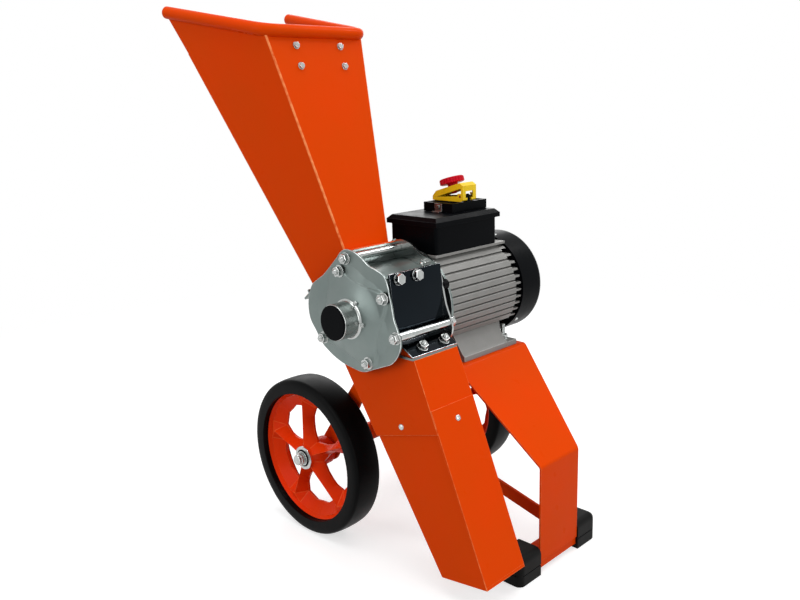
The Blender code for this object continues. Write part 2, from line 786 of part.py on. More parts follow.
def rubber_foot():
    """End block pushed over the cross tube, with a mould groove round it."""
    low = (FOOT_FRONT_X - FOOT_DEPTH, FOOT_INNER_Y, 0.0)
    high = (FOOT_FRONT_X, FOOT_OUTER_Y, FOOT_HEIGHT)
    body = block(low, high)
    upper = [edge for edge in body.edges
             if all(vert.co.z > FOOT_HEIGHT - GAP for vert in edge.verts)
             and not all(vert.co.y < FOOT_INNER_Y + GAP for vert in edge.verts)
             and not all(vert.co.x < low[0] + GAP for vert in edge.verts)]
    corner = [edge for edge in body.edges
              if all(vert.co.y > FOOT_OUTER_Y - GAP and vert.co.x > FOOT_FRONT_X - GAP
                     for vert in edge.verts)]
    bmesh.ops.bevel(body, geom=upper + corner, offset=FOOT_EDGE, segments=4, profile=0.5, affect="EDGES")
    leg_back = KNEE_X - STAND_SHEET
    pocket = block((leg_back - CROSS_TUBE_DEPTH - GAP, FOOT_INNER_Y - THROUGH, CROSS_TUBE_Z - GAP),
                   (leg_back + WELD + GAP, CROSS_TUBE_HALF + GAP, CROSS_TUBE_Z + CROSS_TUBE_HEIGHT + GAP))
    band = block((low[0] - THROUGH, low[1] - THROUGH, FOOT_GROOVE_Z),
                 (high[0] + THROUGH, high[1] + THROUGH, FOOT_GROOVE_Z + FOOT_GROOVE))
    kept = block((low[0] + FOOT_GROOVE, low[1] - 2 * THROUGH, 0.0),
                 (high[0] - FOOT_GROOVE, high[1] - FOOT_GROOVE, FOOT_HEIGHT))
    return cut(tidy(body), pocket, cut(band, kept))


def wheel_centre():
    """Five-spoke plastic wheel centre, its outer face towards -Y."""
    rim_outer = WHEEL_RADIUS - TYRE_SECTION - GAP
    middle = -WHEEL_CENTRE_Y
    face = middle - RIM_WIDTH / 2
    ring = pipe(rim_outer, rim_outer - RIM_WALL, face, middle + RIM_WIDTH / 2, centre=WHEEL_AXIS, segments=48)
    hub = rod(HUB_RADIUS, middle - HUB_LENGTH / 2, middle + HUB_LENGTH / 2, centre=WHEEL_AXIS, segments=28)
    forms = [ring, hub]
    inner = HUB_RADIUS / 2
    outer = rim_outer - RIM_WALL / 3
    for index in range(SPOKE_COUNT):
        angle = SPOKE_ANGLE + 2 * pi * index / SPOKE_COUNT
        forms.append(wheel_spoke(inner, outer, angle, face + SPOKE_SETBACK))
    bore = rod(AXLE_RADIUS + GAP, middle - HUB_LENGTH, middle + HUB_LENGTH, centre=WHEEL_AXIS, segments=32)
    return cut(joined(*forms), bore)


def wheel_spoke(inner, outer, angle, face):
    """A tapered spoke with a raised ridge along its outer side."""
    rings = []
    for reach, width in ((inner, SPOKE_HUB_WIDTH), (outer, SPOKE_RIM_WIDTH)):
        half, back = width / 2, width / 2 - SPOKE_RIDGE / 2
        section = ((-half, face + SPOKE_RIDGE), (0.0, face), (half, face + SPOKE_RIDGE),
                   (back, face + SPOKE_DEPTH), (-back, face + SPOKE_DEPTH))
        rings.append([(reach, side, along) for side, along in section])
    form = framed(*rings)
    bmesh.ops.transform(form, matrix=Matrix.Rotation(angle, 4, "Z"), verts=form.verts)
    bmesh.ops.translate(form, vec=(0.0, WHEEL_RADIUS, 0.0), verts=form.verts)
    return place(form, "Y")


def tyre():
    """Solid rubber tyre with rounded shoulders."""
    middle = -WHEEL_CENTRE_Y
    bore = WHEEL_RADIUS - TYRE_SECTION
    half = TYRE_WIDTH / 2
    bead = half - TYRE_BEAD_INSET
    profile = [(bore, middle - RIM_WIDTH / 2), (bore + TYRE_BEAD, middle - bead)]
    steps = 6
    for step in range(steps + 1):
        angle = pi * step / steps
        bulge = sin(angle) ** 0.6
        profile.append((bore + TYRE_SIDE + (TYRE_SECTION - TYRE_SIDE) * bulge, middle - half * cos(angle)))
    profile += [(bore + TYRE_BEAD, middle + bead), (bore, middle + RIM_WIDTH / 2)]
    return turned(profile, centre=WHEEL_AXIS, segments=48)


def axle():
    """Round axle that carries both wheels and their nuts."""
    seat = WHEEL_CENTRE_Y + HUB_LENGTH / 2
    end = seat + AXLE_WASHER + AXLE_THREAD
    return rod(AXLE_RADIUS, -end, end, centre=WHEEL_AXIS, segments=32)


def axle_nut():
    """Hexagon nut with the broad washer that it is pressed on."""
    face = -(WHEEL_CENTRE_Y + HUB_LENGTH / 2 + GAP)
    seat = face - AXLE_WASHER
    body = joined(rod(AXLE_WASHER_RADIUS, seat, face, centre=WHEEL_AXIS, segments=32),
                  hexagon(AXLE_NUT_WIDTH, seat - AXLE_NUT_HEIGHT, seat + WELD, centre=WHEEL_AXIS))
    return cut(body, rod(AXLE_RADIUS + GAP, face - THROUGH, face + THROUGH, centre=WHEEL_AXIS, segments=32))


def cutter_housing():
    """Drum with an inclined inlet flange above and a level outlet flange below."""
    front, rear = HOUSING_FRONT_Y, HOUSING_REAR_Y
    wall = HOUSING_WALL
    low_x, high_x = OUTLET_REAR_X, SIDE_PLATE_X - GAP
    flange_top = CHUTE_TOP_Z + GAP + OUTLET_FLANGE
    outer = joined(rod(DRUM_RADIUS, front, rear, centre=SHAFT_LINE, segments=48),
                   inlet_slab((INLET_REAR, INLET_FRONT), (-INLET_REACH, 0.0), (front, rear)),
                   block((low_x, front, CHUTE_TOP_Z + GAP), (high_x, rear, AXIS_Z)))
    inner = joined(rod(DRUM_RADIUS - wall, front - THROUGH, rear + THROUGH, centre=SHAFT_LINE, segments=48),
                   inlet_slab((INLET_REAR + wall, INLET_FRONT - wall), (-INLET_REACH, THROUGH),
                              (front - THROUGH, rear + THROUGH)),
                   block((low_x + wall, front - THROUGH, AXIS_Z - DRUM_RADIUS - THROUGH),
                         (high_x + THROUGH, rear + THROUGH, AXIS_Z)))
    shell = cut(outer, inner)
    lip = inlet_slab((INLET_REAR - INLET_LIP_REAR, INLET_FRONT + INLET_LIP_FRONT), (-wall, 0.0),
                     (CHUTE_NEAR_Y - wall, CHUTE_FAR_Y + INLET_LIP_FAR))
    lip = cut(lip, inlet_slab((INLET_REAR + wall, INLET_FRONT - wall), (-THROUGH, THROUGH),
                              (CHUTE_NEAR_Y, REAR_PLATE_Y - wall)))
    outlet = block((CHUTE_TOP_REAR_X, CHUTE_NEAR_Y - wall, CHUTE_TOP_Z + GAP),
                   (CHUTE_TOP_FRONT_X, CHUTE_FAR_Y, flange_top))
    opening = block((low_x + wall, CHUTE_NEAR_Y + CHUTE_SHEET, CHUTE_TOP_Z - THROUGH),
                    (SIDE_PLATE_X - SIDE_PLATE_SHEET, CHUTE_FAR_Y - CHUTE_SHEET, flange_top + THROUGH))
    slot = counter_knife_form(GAP)
    body = cut(joined(shell, lip, cut(outlet, opening)), slot)
    bolts = []
    for along, y in inlet_bolt_spots():
        form = bolt_form(SMALL_NUT_WIDTH, SMALL_NUT_HEIGHT, SMALL_BOLT_RADIUS, WELD - wall,
                         HOPPER_SHEET + 2 * GAP)
        bolts.append(on_inlet(form, along, y))
    for spot in chute_bolt_spots():
        bolts.append(bolt_form(NUT_WIDTH, NUT_HEIGHT, STUD_RADIUS, CHUTE_TOP_Z - CHUTE_SHEET - GAP,
                               flange_top - WELD, spot))
    return joined(body, *bolts)


def inlet_bolt_spots():
    rear = INLET_REAR - INLET_LIP_REAR / 2
    width = CHUTE_FAR_Y - CHUTE_NEAR_Y
    return ((INLET_FRONT + INLET_BOLT_SETBACK, INLET_BOLT_Y), (INLET_REAR + INLET_LIP_FRONT, INLET_BOLT_Y),
            (rear, CHUTE_NEAR_Y + width / 4), (rear, CHUTE_FAR_Y - width / 4))


def chute_bolt_spots():
    return [(OUTLET_BOLT_X, y) for y in OUTLET_BOLTS_Y]


def side_face(z):
    """X of the side plate's inner face at height z, above its bend."""
    share = (z - SIDE_PLATE_BEND_Z) / (SIDE_PLATE_TOP_Z - SIDE_PLATE_BEND_Z)
    return SIDE_PLATE_X - SIDE_PLATE_LEAN * share


def counter_knife_form(extra=0.0):
    """Fixed blade behind the side plate, its edge just clear of the knives."""
    high, low = SIDE_BOLT_Z + COUNTER_HALF + extra, SIDE_BOLT_Z - COUNTER_HALF - extra
    tip_radius = hypot(KNIFE_SEAT + GAP + KNIFE_SHEET, KNIFE_TIP) + KNIFE_CLEARANCE
    edge_x = AXIS_X + tip_radius * cos(COUNTER_ANGLE) - extra
    edge_z = AXIS_Z + tip_radius * sin(COUNTER_ANGLE)
    outline = ((side_face(high) - GAP, high), (edge_x - COUNTER_BEVEL[0], edge_z + COUNTER_BEVEL[1] + extra),
               (edge_x, edge_z - extra), (side_face(low) - GAP, low))
    return extruded(outline, COUNTER_FRONT_Y - extra, ROTOR_FRONT_Y + ROTOR_LENGTH + extra)


def front_cover():
    """Lobed plate with a pressed star, a central swell and the nuts on the points of the star."""
    back = COVER_Y + COVER_SHEET
    plate = extruded(smooth_outline(LOBE_OUTLINE), COVER_Y, back)
    face = COVER_Y - STAR_HEIGHT
    raised = lofted(star(STAR_FLANK), star(), face, COVER_Y + WELD)
    swell = []
    steps = 4
    for step in range(steps + 1):
        share = step / steps
        swell.append((DOME_RADIUS - (DOME_RADIUS - BEARING_FLANGE_RADIUS) * share,
                      face + WELD - (DOME_HEIGHT + WELD) * (1 - cos(pi * share)) / 2))
    dome = turned([(BEARING_TUBE_RADIUS, face + WELD)] + swell + [(BEARING_TUBE_RADIUS, face - DOME_HEIGHT)],
                  centre=SHAFT_LINE, segments=40)
    hollow = lofted(star(STAR_FLANK + COVER_SHEET), star(COVER_SHEET), face + COVER_SHEET, back + WELD)
    bore = rod(BEARING_TUBE_RADIUS - COVER_SHEET, face - THROUGH, back + THROUGH,
               centre=SHAFT_LINE, segments=40)
    dome = cut(dome, bore.copy())
    holes = gathered([rod(STUD_RADIUS + GAP, COVER_Y - THROUGH, back + THROUGH, centre=spot, segments=12)
                      for spot in (STUD_UPPER, STUD_LOWER)])
    nuts = []
    for index in range(4):
        angle = STAR_ANGLE + index * pi / 2
        spot = (AXIS_X + STAR_BOLT_RADIUS * cos(angle), AXIS_Z + STAR_BOLT_RADIUS * sin(angle))
        nuts.append(hexagon(NUT_WIDTH, face - NUT_HEIGHT, face + WELD, centre=spot, turn=angle))
        nuts.append(rod(STUD_RADIUS, face - NUT_HEIGHT - STUD_RADIUS, face, centre=spot, segments=12))
    return joined(cut(joined(plate, raised), hollow, bore, holes), dome, *nuts)


def bearing_tube():
    """Flanged tube that holds the front bearing, with its ring of small nuts."""
    seat = COVER_Y - STAR_HEIGHT - DOME_HEIGHT - GAP
    face = seat - BEARING_FLANGE
    bore = BEARING_RADIUS + GAP
    across, along = BEARING_FILLET
    profile = ((bore, seat), (BEARING_FLANGE_RADIUS, seat), (BEARING_FLANGE_RADIUS, face),
               (BEARING_TUBE_RADIUS + across, face), (BEARING_TUBE_RADIUS, face - along),
               (BEARING_TUBE_RADIUS, BEARING_TUBE_END_Y), (bore, BEARING_TUBE_END_Y))
    body = turned(profile, centre=SHAFT_LINE, segments=36)
    ring = (BEARING_TUBE_RADIUS + BEARING_FLANGE_RADIUS) / 2
    nuts = []
    for index in range(6):
        angle = STAR_ANGLE + BEARING_NUTS_TURN + index * pi / 3
        spot = (AXIS_X + ring * cos(angle), AXIS_Z + ring * sin(angle))
        nuts.append(hexagon(SMALL_NUT_WIDTH, face - SMALL_NUT_HEIGHT, seat - WELD, centre=spot, turn=angle))
    return joined(body, *nuts)


def end_plug():
    spigot = BEARING_RADIUS
    inside, seat = BEARING_TUBE_END_Y + PLUG_DEPTH, BEARING_TUBE_END_Y - GAP
    face = BEARING_TUBE_END_Y - PLUG_FACE
    profile = ((0.0, inside), (spigot, inside), (spigot, seat), (PLUG_RADIUS, seat),
               (PLUG_RADIUS, face + PLUG_EDGE), (PLUG_RADIUS - PLUG_EDGE, face), (0.0, face))
    return turned(profile, centre=SHAFT_LINE, segments=36)


def rear_plate():
    """Lobed plate behind the drum, trimmed under the inlet flange."""
    back = REAR_PLATE_Y + REAR_PLATE_SHEET
    plate = extruded(smooth_outline(LOBE_OUTLINE), REAR_PLATE_Y, back)
    trim = inlet_slab((INLET_REAR - INLET_LIP_REAR - THROUGH, INLET_FRONT + INLET_LIP_FRONT + GAP),
                      (-HOUSING_WALL - SMALL_NUT_HEIGHT - GAP, THROUGH),
                      (REAR_PLATE_Y - THROUGH, back + THROUGH))
    bore = rod(SHAFT_RADIUS + REAR_BORE_MARGIN, REAR_PLATE_Y - THROUGH, back + THROUGH,
               centre=SHAFT_LINE, segments=32)
    holes = gathered([rod(STUD_RADIUS + GAP, REAR_PLATE_Y - THROUGH, back + THROUGH, centre=spot, segments=12)
                      for spot in (STUD_UPPER, STUD_LOWER)])
    across, up = REAR_BOLT_RADIUS * cos(REAR_BOLT_ANGLE), REAR_BOLT_RADIUS * sin(REAR_BOLT_ANGLE)
    spot = (AXIS_X + across, AXIS_Z + up)
    bolt = hexagon(NUT_WIDTH, REAR_PLATE_Y - NUT_HEIGHT, REAR_PLATE_Y + WELD, centre=spot)
    return joined(cut(plate, trim, bore, holes), bolt)


def side_plate():
    """Flat plate on the chute side, bent back along its top, with the two counter knife bolts."""
    x, sheet, lean = SIDE_PLATE_X, SIDE_PLATE_SHEET, SIDE_PLATE_LEAN
    low = CHUTE_TOP_Z + OUTLET_FLANGE + 2 * GAP
    outline = ((x, low), (x + sheet, low), (x + sheet, SIDE_PLATE_BEND_Z),
               (x + sheet - lean, SIDE_PLATE_TOP_Z), (x - lean, SIDE_PLATE_TOP_Z), (x, SIDE_PLATE_BEND_Z))
    body = extruded(outline, HOUSING_FRONT_Y, HOUSING_REAR_Y)
    face = side_face(SIDE_BOLT_Z) + sheet
    heads = [hexagon(NUT_WIDTH, face - 2 * WELD, face + NUT_HEIGHT, "X", (y, SIDE_BOLT_Z))
             for y in SIDE_BOLTS_Y]
    return joined(body, *heads)


def tie_stud(spot):
    """Stud with a spacer sleeve and a nut outside each plate."""
    front = COVER_Y - GAP
    rear = REAR_PLATE_Y + REAR_PLATE_SHEET + GAP
    return joined(rod(STUD_RADIUS, front - NUT_HEIGHT - STUD_RADIUS, rear + NUT_HEIGHT + STUD_TAIL,
                      centre=spot, segments=12),
                  rod(STUD_SLEEVE_RADIUS, HOUSING_FRONT_Y, HOUSING_REAR_Y, centre=spot, segments=16),
                  hexagon(NUT_WIDTH, front - NUT_HEIGHT, front, centre=spot, turn=STUD_NUT_TURN),
                  hexagon(NUT_WIDTH, rear, rear + NUT_HEIGHT, centre=spot, turn=STUD_NUT_TURN))


def chute_outline(top, bottom):
    """Side view of a stretch of the chute between two (rear z, front z) levels, anticlockwise."""
    rear = [(chute_line(CHUTE_TOP_REAR_X, CHUTE_END_REAR, z), z) for z in (top[0], bottom[0])]
    front = [(chute_line(CHUTE_TOP_FRONT_X, CHUTE_END_FRONT, z), z) for z in (bottom[1], top[1])]
    return rear + front


def chute_upper():
    """Fixed upper chute, closed above by a lip that takes the flange bolts."""
    outline = chute_outline((CHUTE_TOP_Z, CHUTE_TOP_Z), (CHUTE_SEAM_REAR_Z, CHUTE_SEAM_FRONT_Z))
    sheet = CHUTE_SHEET
    shell = extruded(outline, CHUTE_NEAR_Y, CHUTE_FAR_Y)
    hollow = extruded(parallel(outline, (sheet, -THROUGH, sheet, sheet)),
                      CHUTE_NEAR_Y + sheet, CHUTE_FAR_Y - sheet)
    opening = block((OUTLET_REAR_X + HOUSING_WALL, CHUTE_NEAR_Y + sheet, CHUTE_TOP_Z - THROUGH),
                    (SIDE_PLATE_X - SIDE_PLATE_SHEET, CHUTE_FAR_Y - sheet, CHUTE_TOP_Z + THROUGH))
    holes = gathered([rod(STUD_RADIUS + GAP, CHUTE_TOP_Z - THROUGH / 4, CHUTE_TOP_Z + THROUGH, "Z", spot, 12)
                      for spot in chute_bolt_spots()])
    return cut(shell, hollow, opening, holes)


def chute_lower():
    """Lower chute, slid up inside the upper one."""
    lap = CHUTE_LAP
    outline = chute_outline((CHUTE_SEAM_REAR_Z + lap, CHUTE_SEAM_FRONT_Z + lap),
                            (CHUTE_END_REAR[1], CHUTE_END_FRONT[1]))
    inset = CHUTE_SHEET + GAP
    sheet = CHUTE_SHEET
    outer = extruded(parallel(outline, (inset, 0.0, inset, 0.0)), CHUTE_NEAR_Y + inset, CHUTE_FAR_Y - inset)
    hollow = extruded(parallel(outline, (inset + sheet, -THROUGH, inset + sheet, -THROUGH)),
                      CHUTE_NEAR_Y + inset + sheet, CHUTE_FAR_Y - inset - sheet)
    return cut(outer, hollow)


def hopper_corner(x, z, side, inset=0.0):
    """Point on a side wall's outer face over a point of the side view, or inset from it in Y."""
    return Vector((x, HOPPER_MID_Y + side * (hopper_half(x, z) - inset), z))


def hopper_wall(flange_along, rim):
    """Foot and top of a hopper wall's outer face in side view, the foot standing on the lip."""
    start = inlet_point(flange_along, -2 * HOPPER_SHEET)
    top = Vector((rim[0], 0.0, rim[1] - RIM_TUBE_RADIUS - 2 * GAP))
    rise = INLET_OUT.dot(top - start)
    return start.lerp(top, (3 * HOPPER_SHEET + 2 * GAP) / rise), top


def back_panel_top():
    """Top of the lower rear wall in side view."""
    foot, top = hopper_wall(INLET_REAR, RIM_REAR)
    return top + (foot - top).normalized() * BACK_PANEL_DROP


def hopper_side(side):
    """Flat side wall, reaching over the edges of the front and rear walls."""
    front_foot, front_top = hopper_wall(INLET_FRONT, RIM_FRONT)
    rear_foot, rear_top = hopper_wall(INLET_REAR, RIM_REAR)
    spots = (front_foot, front_top, rear_top, rear_foot)
    outer = [hopper_corner(spot.x, spot.z, side) for spot in spots]
    inner = [hopper_corner(spot.x, spot.z, side, HOPPER_SHEET) for spot in spots]
    return framed(outer, inner)


def hopper_cross_wall(foot, top, outward):
    """Front or rear wall between the side walls, its outer face through foot and top."""
    along = (top - foot).normalized()
    normal = Vector((along.z, 0.0, -along.x)) * outward
    sink = normal * HOPPER_SHEET
    level = along * HOPPER_SHEET * INLET_OUT.dot(normal) / INLET_OUT.dot(along)
    rings = []
    for outer, inner in ((foot, foot - sink + level), (top, top - sink)):
        rings.append([hopper_corner(spot.x, spot.z, side, HOPPER_SHEET + GAP)
                      for spot, side in ((outer, -1), (outer, 1), (inner, 1), (inner, -1))])
    return framed(*rings)


def hopper_front():
    """Front wall with the holes of the curtain's screws."""
    holes = gathered([hopper_pin(z, side, -THROUGH, THROUGH, SMALL_BOLT_RADIUS + GAP)
                      for z in HOPPER_SCREWS_Z for side in (-1, 1)])
    return cut(hopper_cross_wall(*hopper_wall(INLET_FRONT, RIM_FRONT), 1), holes)


def hopper_rear():
    """Lower rear wall, open above it for loading."""
    return hopper_cross_wall(hopper_wall(INLET_REAR, RIM_REAR)[0], back_panel_top(), -1)


def hopper_lip():
    """Lip that the walls are welded to, bolted on the inlet flange round the throat."""
    near, far = HOPPER_MID_Y - THROAT_HALF, HOPPER_MID_Y + THROAT_HALF
    sheet = HOPPER_SHEET
    lip = inlet_slab((INLET_REAR - INLET_LIP_REAR, INLET_FRONT + INLET_LIP_FRONT), (GAP, GAP + sheet),
                     (near, far + INLET_LIP_FAR))
    throat = inlet_slab((INLET_REAR + sheet, INLET_FRONT - sheet), (-THROUGH, THROUGH),
                        (near + sheet, far - sheet))
    holes = [on_inlet(rod(SMALL_BOLT_RADIUS + GAP, -THROUGH / 4, THROUGH / 2, "Z", segments=12), along, y)
             for along, y in inlet_bolt_spots()]
    return cut(lip, throat, gathered(holes))


def hopper_front_frame(z):
    """Point on the outer face of the front wall at height z, with the wall's outward normal."""
    foot, top = hopper_wall(INLET_FRONT, RIM_FRONT)
    along = (top - foot).normalized()
    point = foot + along * (z - foot.z) / along.z
    return point, Vector((along.z, 0.0, -along.x))


def hopper_pin(z, side, low, high, radius, segments=12):
    """A round pin square to the front wall of the hopper, from low to high over its outer face."""
    point, normal = hopper_front_frame(z)
    form = rod(radius, low, high, "Z", segments=segments)
    turn = Vector((0, 0, 1)).rotation_difference(normal).to_matrix().to_4x4()
    spot = Vector((point.x, HOPPER_MID_Y + side * HOPPER_SCREW_HALF, point.z))
    bmesh.ops.transform(form, matrix=Matrix.Translation(spot) @ turn, verts=form.verts)
    return form


def wall_strip(low_z, high_z, near, far, half):
    """A flat strip parallel to the front wall, from near to far behind its outer face."""
    outline = []
    for z, depth in ((low_z, near), (high_z, near), (high_z, far), (low_z, far)):
        point, normal = hopper_front_frame(z)
        place_here = point - normal * depth
        outline.append((place_here.x, place_here.z))
    return extruded(outline, HOPPER_MID_Y - half, HOPPER_MID_Y + half)


def hopper_clamp():
    """Clamp plate inside the hopper with its four screws."""
    near = HOPPER_SHEET + FLAP_SHEET + 2 * GAP
    plate = wall_strip(CLAMP_BOTTOM_Z, CLAMP_TOP_Z, near, near + CLAMP_SHEET, CLAMP_HALF)
    screws = []
    for z in HOPPER_SCREWS_Z:
        for side in (-1, 1):
            screws.append(hopper_pin(z, side, -near - CLAMP_SHEET / 2, GAP + WELD, SMALL_BOLT_RADIUS))
            screws.append(hopper_pin(z, side, GAP, GAP + HOPPER_SCREW_HEIGHT, HOPPER_SCREW_HEAD, 16))
    return joined(plate, *screws)


def hopper_flap():
    """Rubber curtain, clamped to the front wall and hanging straight down."""
    near = HOPPER_SHEET + GAP
    held = wall_strip(CLAMP_BOTTOM_Z, CLAMP_TOP_Z, near, near + FLAP_SHEET, FLAP_HALF)
    point, normal = hopper_front_frame(CLAMP_BOTTOM_Z)
    start = point - normal * near
    back = point - normal * (near + FLAP_SHEET)
    outline = ((start.x, start.z + WELD), (back.x, back.z + WELD),
               (back.x, FLAP_HANG_Z), (start.x, FLAP_HANG_Z))
    hang = extruded(outline, HOPPER_MID_Y - FLAP_HALF, HOPPER_MID_Y + FLAP_HALF)
    holes = gathered([hopper_pin(z, side, -THROUGH, THROUGH, SMALL_BOLT_RADIUS + GAP)
                      for z in HOPPER_SCREWS_Z for side in (-1, 1)])
    return cut(joined(held, hang), holes)


def hopper_rim():
    """Bent tube round three sides of the mouth, flat at both ends."""
    corners = [hopper_corner(*RIM_REAR, -1), hopper_corner(*RIM_FRONT, -1),
               hopper_corner(*RIM_FRONT, 1), hopper_corner(*RIM_REAR, 1)]
    path = [corners[0]]
    for before, here, after in zip(corners, corners[1:], corners[2:]):
        back = (before - here).normalized()
        ahead = (after - here).normalized()
        half = back.angle(ahead) / 2
        reach = RIM_BEND * cos(half) / sin(half)
        middle = here + (back + ahead).normalized() * RIM_BEND / sin(half)
        for step in range(6):
            arm = (here + back * reach - middle).lerp(here + ahead * reach - middle, step / 5)
            path.append(middle + arm.normalized() * RIM_BEND)
    path.append(corners[-1])
    return swept(path, RIM_TUBE_RADIUS, 14)


def swept(path, radius, sides):
    """A round bar along a path, square at its ends."""
    rings = []
    upright = Vector((0, 0, 1))
    for index, here in enumerate(path):
        before = path[max(index - 1, 0)]
        after = path[min(index + 1, len(path) - 1)]
        lead = ((here - before).normalized() + (after - here).normalized()).normalized()
        side = lead.cross(upright).normalized()
        top = side.cross(lead).normalized()
        rings.append([here + side * u + top * v for u, v in circle(radius, sides)])
    return framed(*rings)


def motor_outline():
    """Cross-section of the finned motor housing, relative to its axis."""
    core = MOTOR_CORE_RADIUS
    highest = int((core - FIN_THICKNESS / 2 - GAP) / FIN_PITCH)
    right = []
    for step in range(FIN_LOWEST, highest + 1):
        low = step * FIN_PITCH - FIN_THICKNESS / 2
        high = low + FIN_THICKNESS
        for radius, height in ((core, low), (FIN_TIP_RADIUS, low), (FIN_TIP_RADIUS, high), (core, high)):
            right.append((max(sqrt(radius ** 2 - height ** 2), PAD_WEB_HALF), height))
    if right[-1][0] > PAD_WEB_HALF:
        right.append((PAD_WEB_HALF, sqrt(core ** 2 - PAD_WEB_HALF ** 2)))
    pad_low = MOTOR_PAD_HEIGHT - PAD_THICKNESS
    right += [(PAD_WEB_HALF, pad_low), (PAD_HALF, pad_low), (PAD_HALF, MOTOR_PAD_HEIGHT)]
    left = [(-x, z) for x, z in reversed(right)]
    first = atan2(right[0][1], right[0][0])
    under = []
    for step in range(1, 12):
        angle = (pi - first) + (2 * pi + 2 * first - pi) * step / 12
        under.append((core * cos(angle), core * sin(angle)))
    return right + left + under


def motor_housing():
    """Finned aluminium housing with a pad for the switch box."""
    outline = [(AXIS_X + x, AXIS_Z + z) for x, z in motor_outline()]
    body = extruded(outline, MOTOR_FRONT_Y, MOTOR_REAR_Y)
    bore = rod(MOTOR_BORE_RADIUS, MOTOR_FRONT_Y - THROUGH, MOTOR_REAR_Y + THROUGH,
               centre=SHAFT_LINE, segments=48)
    return cut(body, bore)


def motor_foot(side):
    """Foot rail under the lowest fin with a pocket round each bolt; side 1 is towards the chute."""
    bottom = STAND_TOP + GAP - AXIS_Z
    flange = bottom + FOOT_RAIL_FLANGE
    rear = FOOT_RAIL_FRONT_Y + FOOT_RAIL_LENGTH
    radius = MOTOR_CORE_RADIUS + GAP
    start = asin((FIN_LOWEST * FIN_PITCH - FIN_THICKNESS / 2 - GAP) / radius)
    angles = [start + (FOOT_SADDLE_LOW - start) * step / 6 for step in range(7)]
    saddle = [(radius * cos(angle), radius * sin(angle)) for angle in angles]
    rail = saddle + [(FOOT_WEB_INNER, bottom + FOOT_WEB_RISE), (FOOT_INNER, bottom), (FOOT_RAIL_HALF, bottom),
                     (FOOT_RAIL_HALF, flange), (FOOT_WEB_OUTER, flange + FOOT_WEB_STEP),
                     (FOOT_WEB_TOP, saddle[0][1])]
    form = extruded([(AXIS_X + side * x, AXIS_Z + z) for x, z in rail], FOOT_RAIL_FRONT_Y, rear)
    spots = [spot for spot in motor_bolt_spots() if (spot[0] - AXIS_X) * side > 0]
    pockets = []
    for x, y in spots:
        across = sorted((AXIS_X + side * (FOOT_RAIL_HALF + THROUGH), x - side * FOOT_POCKET))
        at_rear = y > FOOT_RAIL_FRONT_Y + FOOT_RAIL_LENGTH / 2
        run = (y - FOOT_POCKET, rear + THROUGH) if at_rear else (FOOT_RAIL_FRONT_Y - THROUGH, y + FOOT_POCKET)
        pockets.append(block((across[0], run[0], AXIS_Z + flange),
                             (across[1], run[1], AXIS_Z + flange + FOOT_POCKET_HEIGHT)))
    holes = [rod(FOOT_BOLT_RADIUS + GAP, STAND_TOP - THROUGH, AXIS_Z + flange + THROUGH / 2, "Z", spot, 12)
             for spot in spots]
    return cut(form, gathered(pockets), gathered(holes))


def motor_bolt(spot):
    """Foot bolt with its head in the foot pocket and its nut under the stand."""
    head = STAND_TOP + GAP + FOOT_RAIL_FLANGE + GAP
    under = STAND_TOP - STAND_SHEET - GAP
    if spot[0] < AXIS_X:
        under -= STAND_SHEET
    return bolt_form(NUT_WIDTH, NUT_HEIGHT, FOOT_BOLT_RADIUS, under, head, spot, BOLT_TAIL)


def motor_end_shield():
    """Dark end shield between the rear plate and the motor, with lugs and the drive end bearing seat."""
    front = REAR_PLATE_Y + REAR_PLATE_SHEET + GAP
    step = RING_FRONT_Y - GAP
    neck = SHIELD_NECK_RADIUS
    seat = BEARING_RADIUS + GAP
    lip = seat - SHIELD_LIP_DEPTH
    back = MOTOR_FRONT_Y - GAP
    profile = ((seat, front + SHIELD_LIP), (lip, front + SHIELD_LIP), (lip, front), (SHIELD_RADIUS, front),
               (SHIELD_RADIUS, step), (neck, step), (neck, back), (seat, back))
    body = turned(profile, centre=SHAFT_LINE, segments=40)
    lugs = []
    for index in range(3):
        angle = SHIELD_LUG_ANGLE - index * pi / 2
        reach = SHIELD_RADIUS + SHIELD_LUG_OUT
        spot = (AXIS_X + reach * cos(angle), AXIS_Z + reach * sin(angle))
        lugs.append(rod(SHIELD_LUG_RADIUS, front, step, centre=spot, segments=14))
    trims = [hexagon(NUT_WIDTH + SHIELD_TRIM, front - GAP, step + GAP, centre=spot)
             for spot in (STUD_UPPER, STUD_LOWER)]
    return cut(joined(body, *lugs), gathered(trims))


def motor_ring():
    """Plated flange ring round the end shield."""
    ring = pipe(RING_RADIUS, SHIELD_NECK_RADIUS + GAP, RING_FRONT_Y, RING_FRONT_Y + RING_THICKNESS,
                centre=SHAFT_LINE, segments=48)
    return cut(ring, block((AXIS_X - RING_RADIUS, RING_FRONT_Y - THROUGH, STAND_TOP - THROUGH),
                           (AXIS_X + RING_RADIUS, RING_FRONT_Y + THROUGH, STAND_TOP + GAP)))


def stator():
    """Laminated stator with its winding heads."""
    middle = (MOTOR_FRONT_Y + MOTOR_REAR_Y) / 2
    low, high = middle - STATOR_LENGTH / 2, middle + STATOR_LENGTH / 2
    low_end, high_end = low - WINDING_LENGTH, high + WINDING_LENGTH
    outer = MOTOR_BORE_RADIUS - GAP
    inner_end, outer_end = STATOR_BORE + WINDING_INNER, outer - WINDING_TAPER
    shoulder = outer - WINDING_OUTER
    profile = ((STATOR_BORE, low), (inner_end, low_end), (outer_end, low_end), (shoulder, low),
               (outer, low), (outer, high), (shoulder, high), (outer_end, high_end),
               (inner_end, high_end), (STATOR_BORE, high))
    return turned(profile, centre=SHAFT_LINE, segments=28)


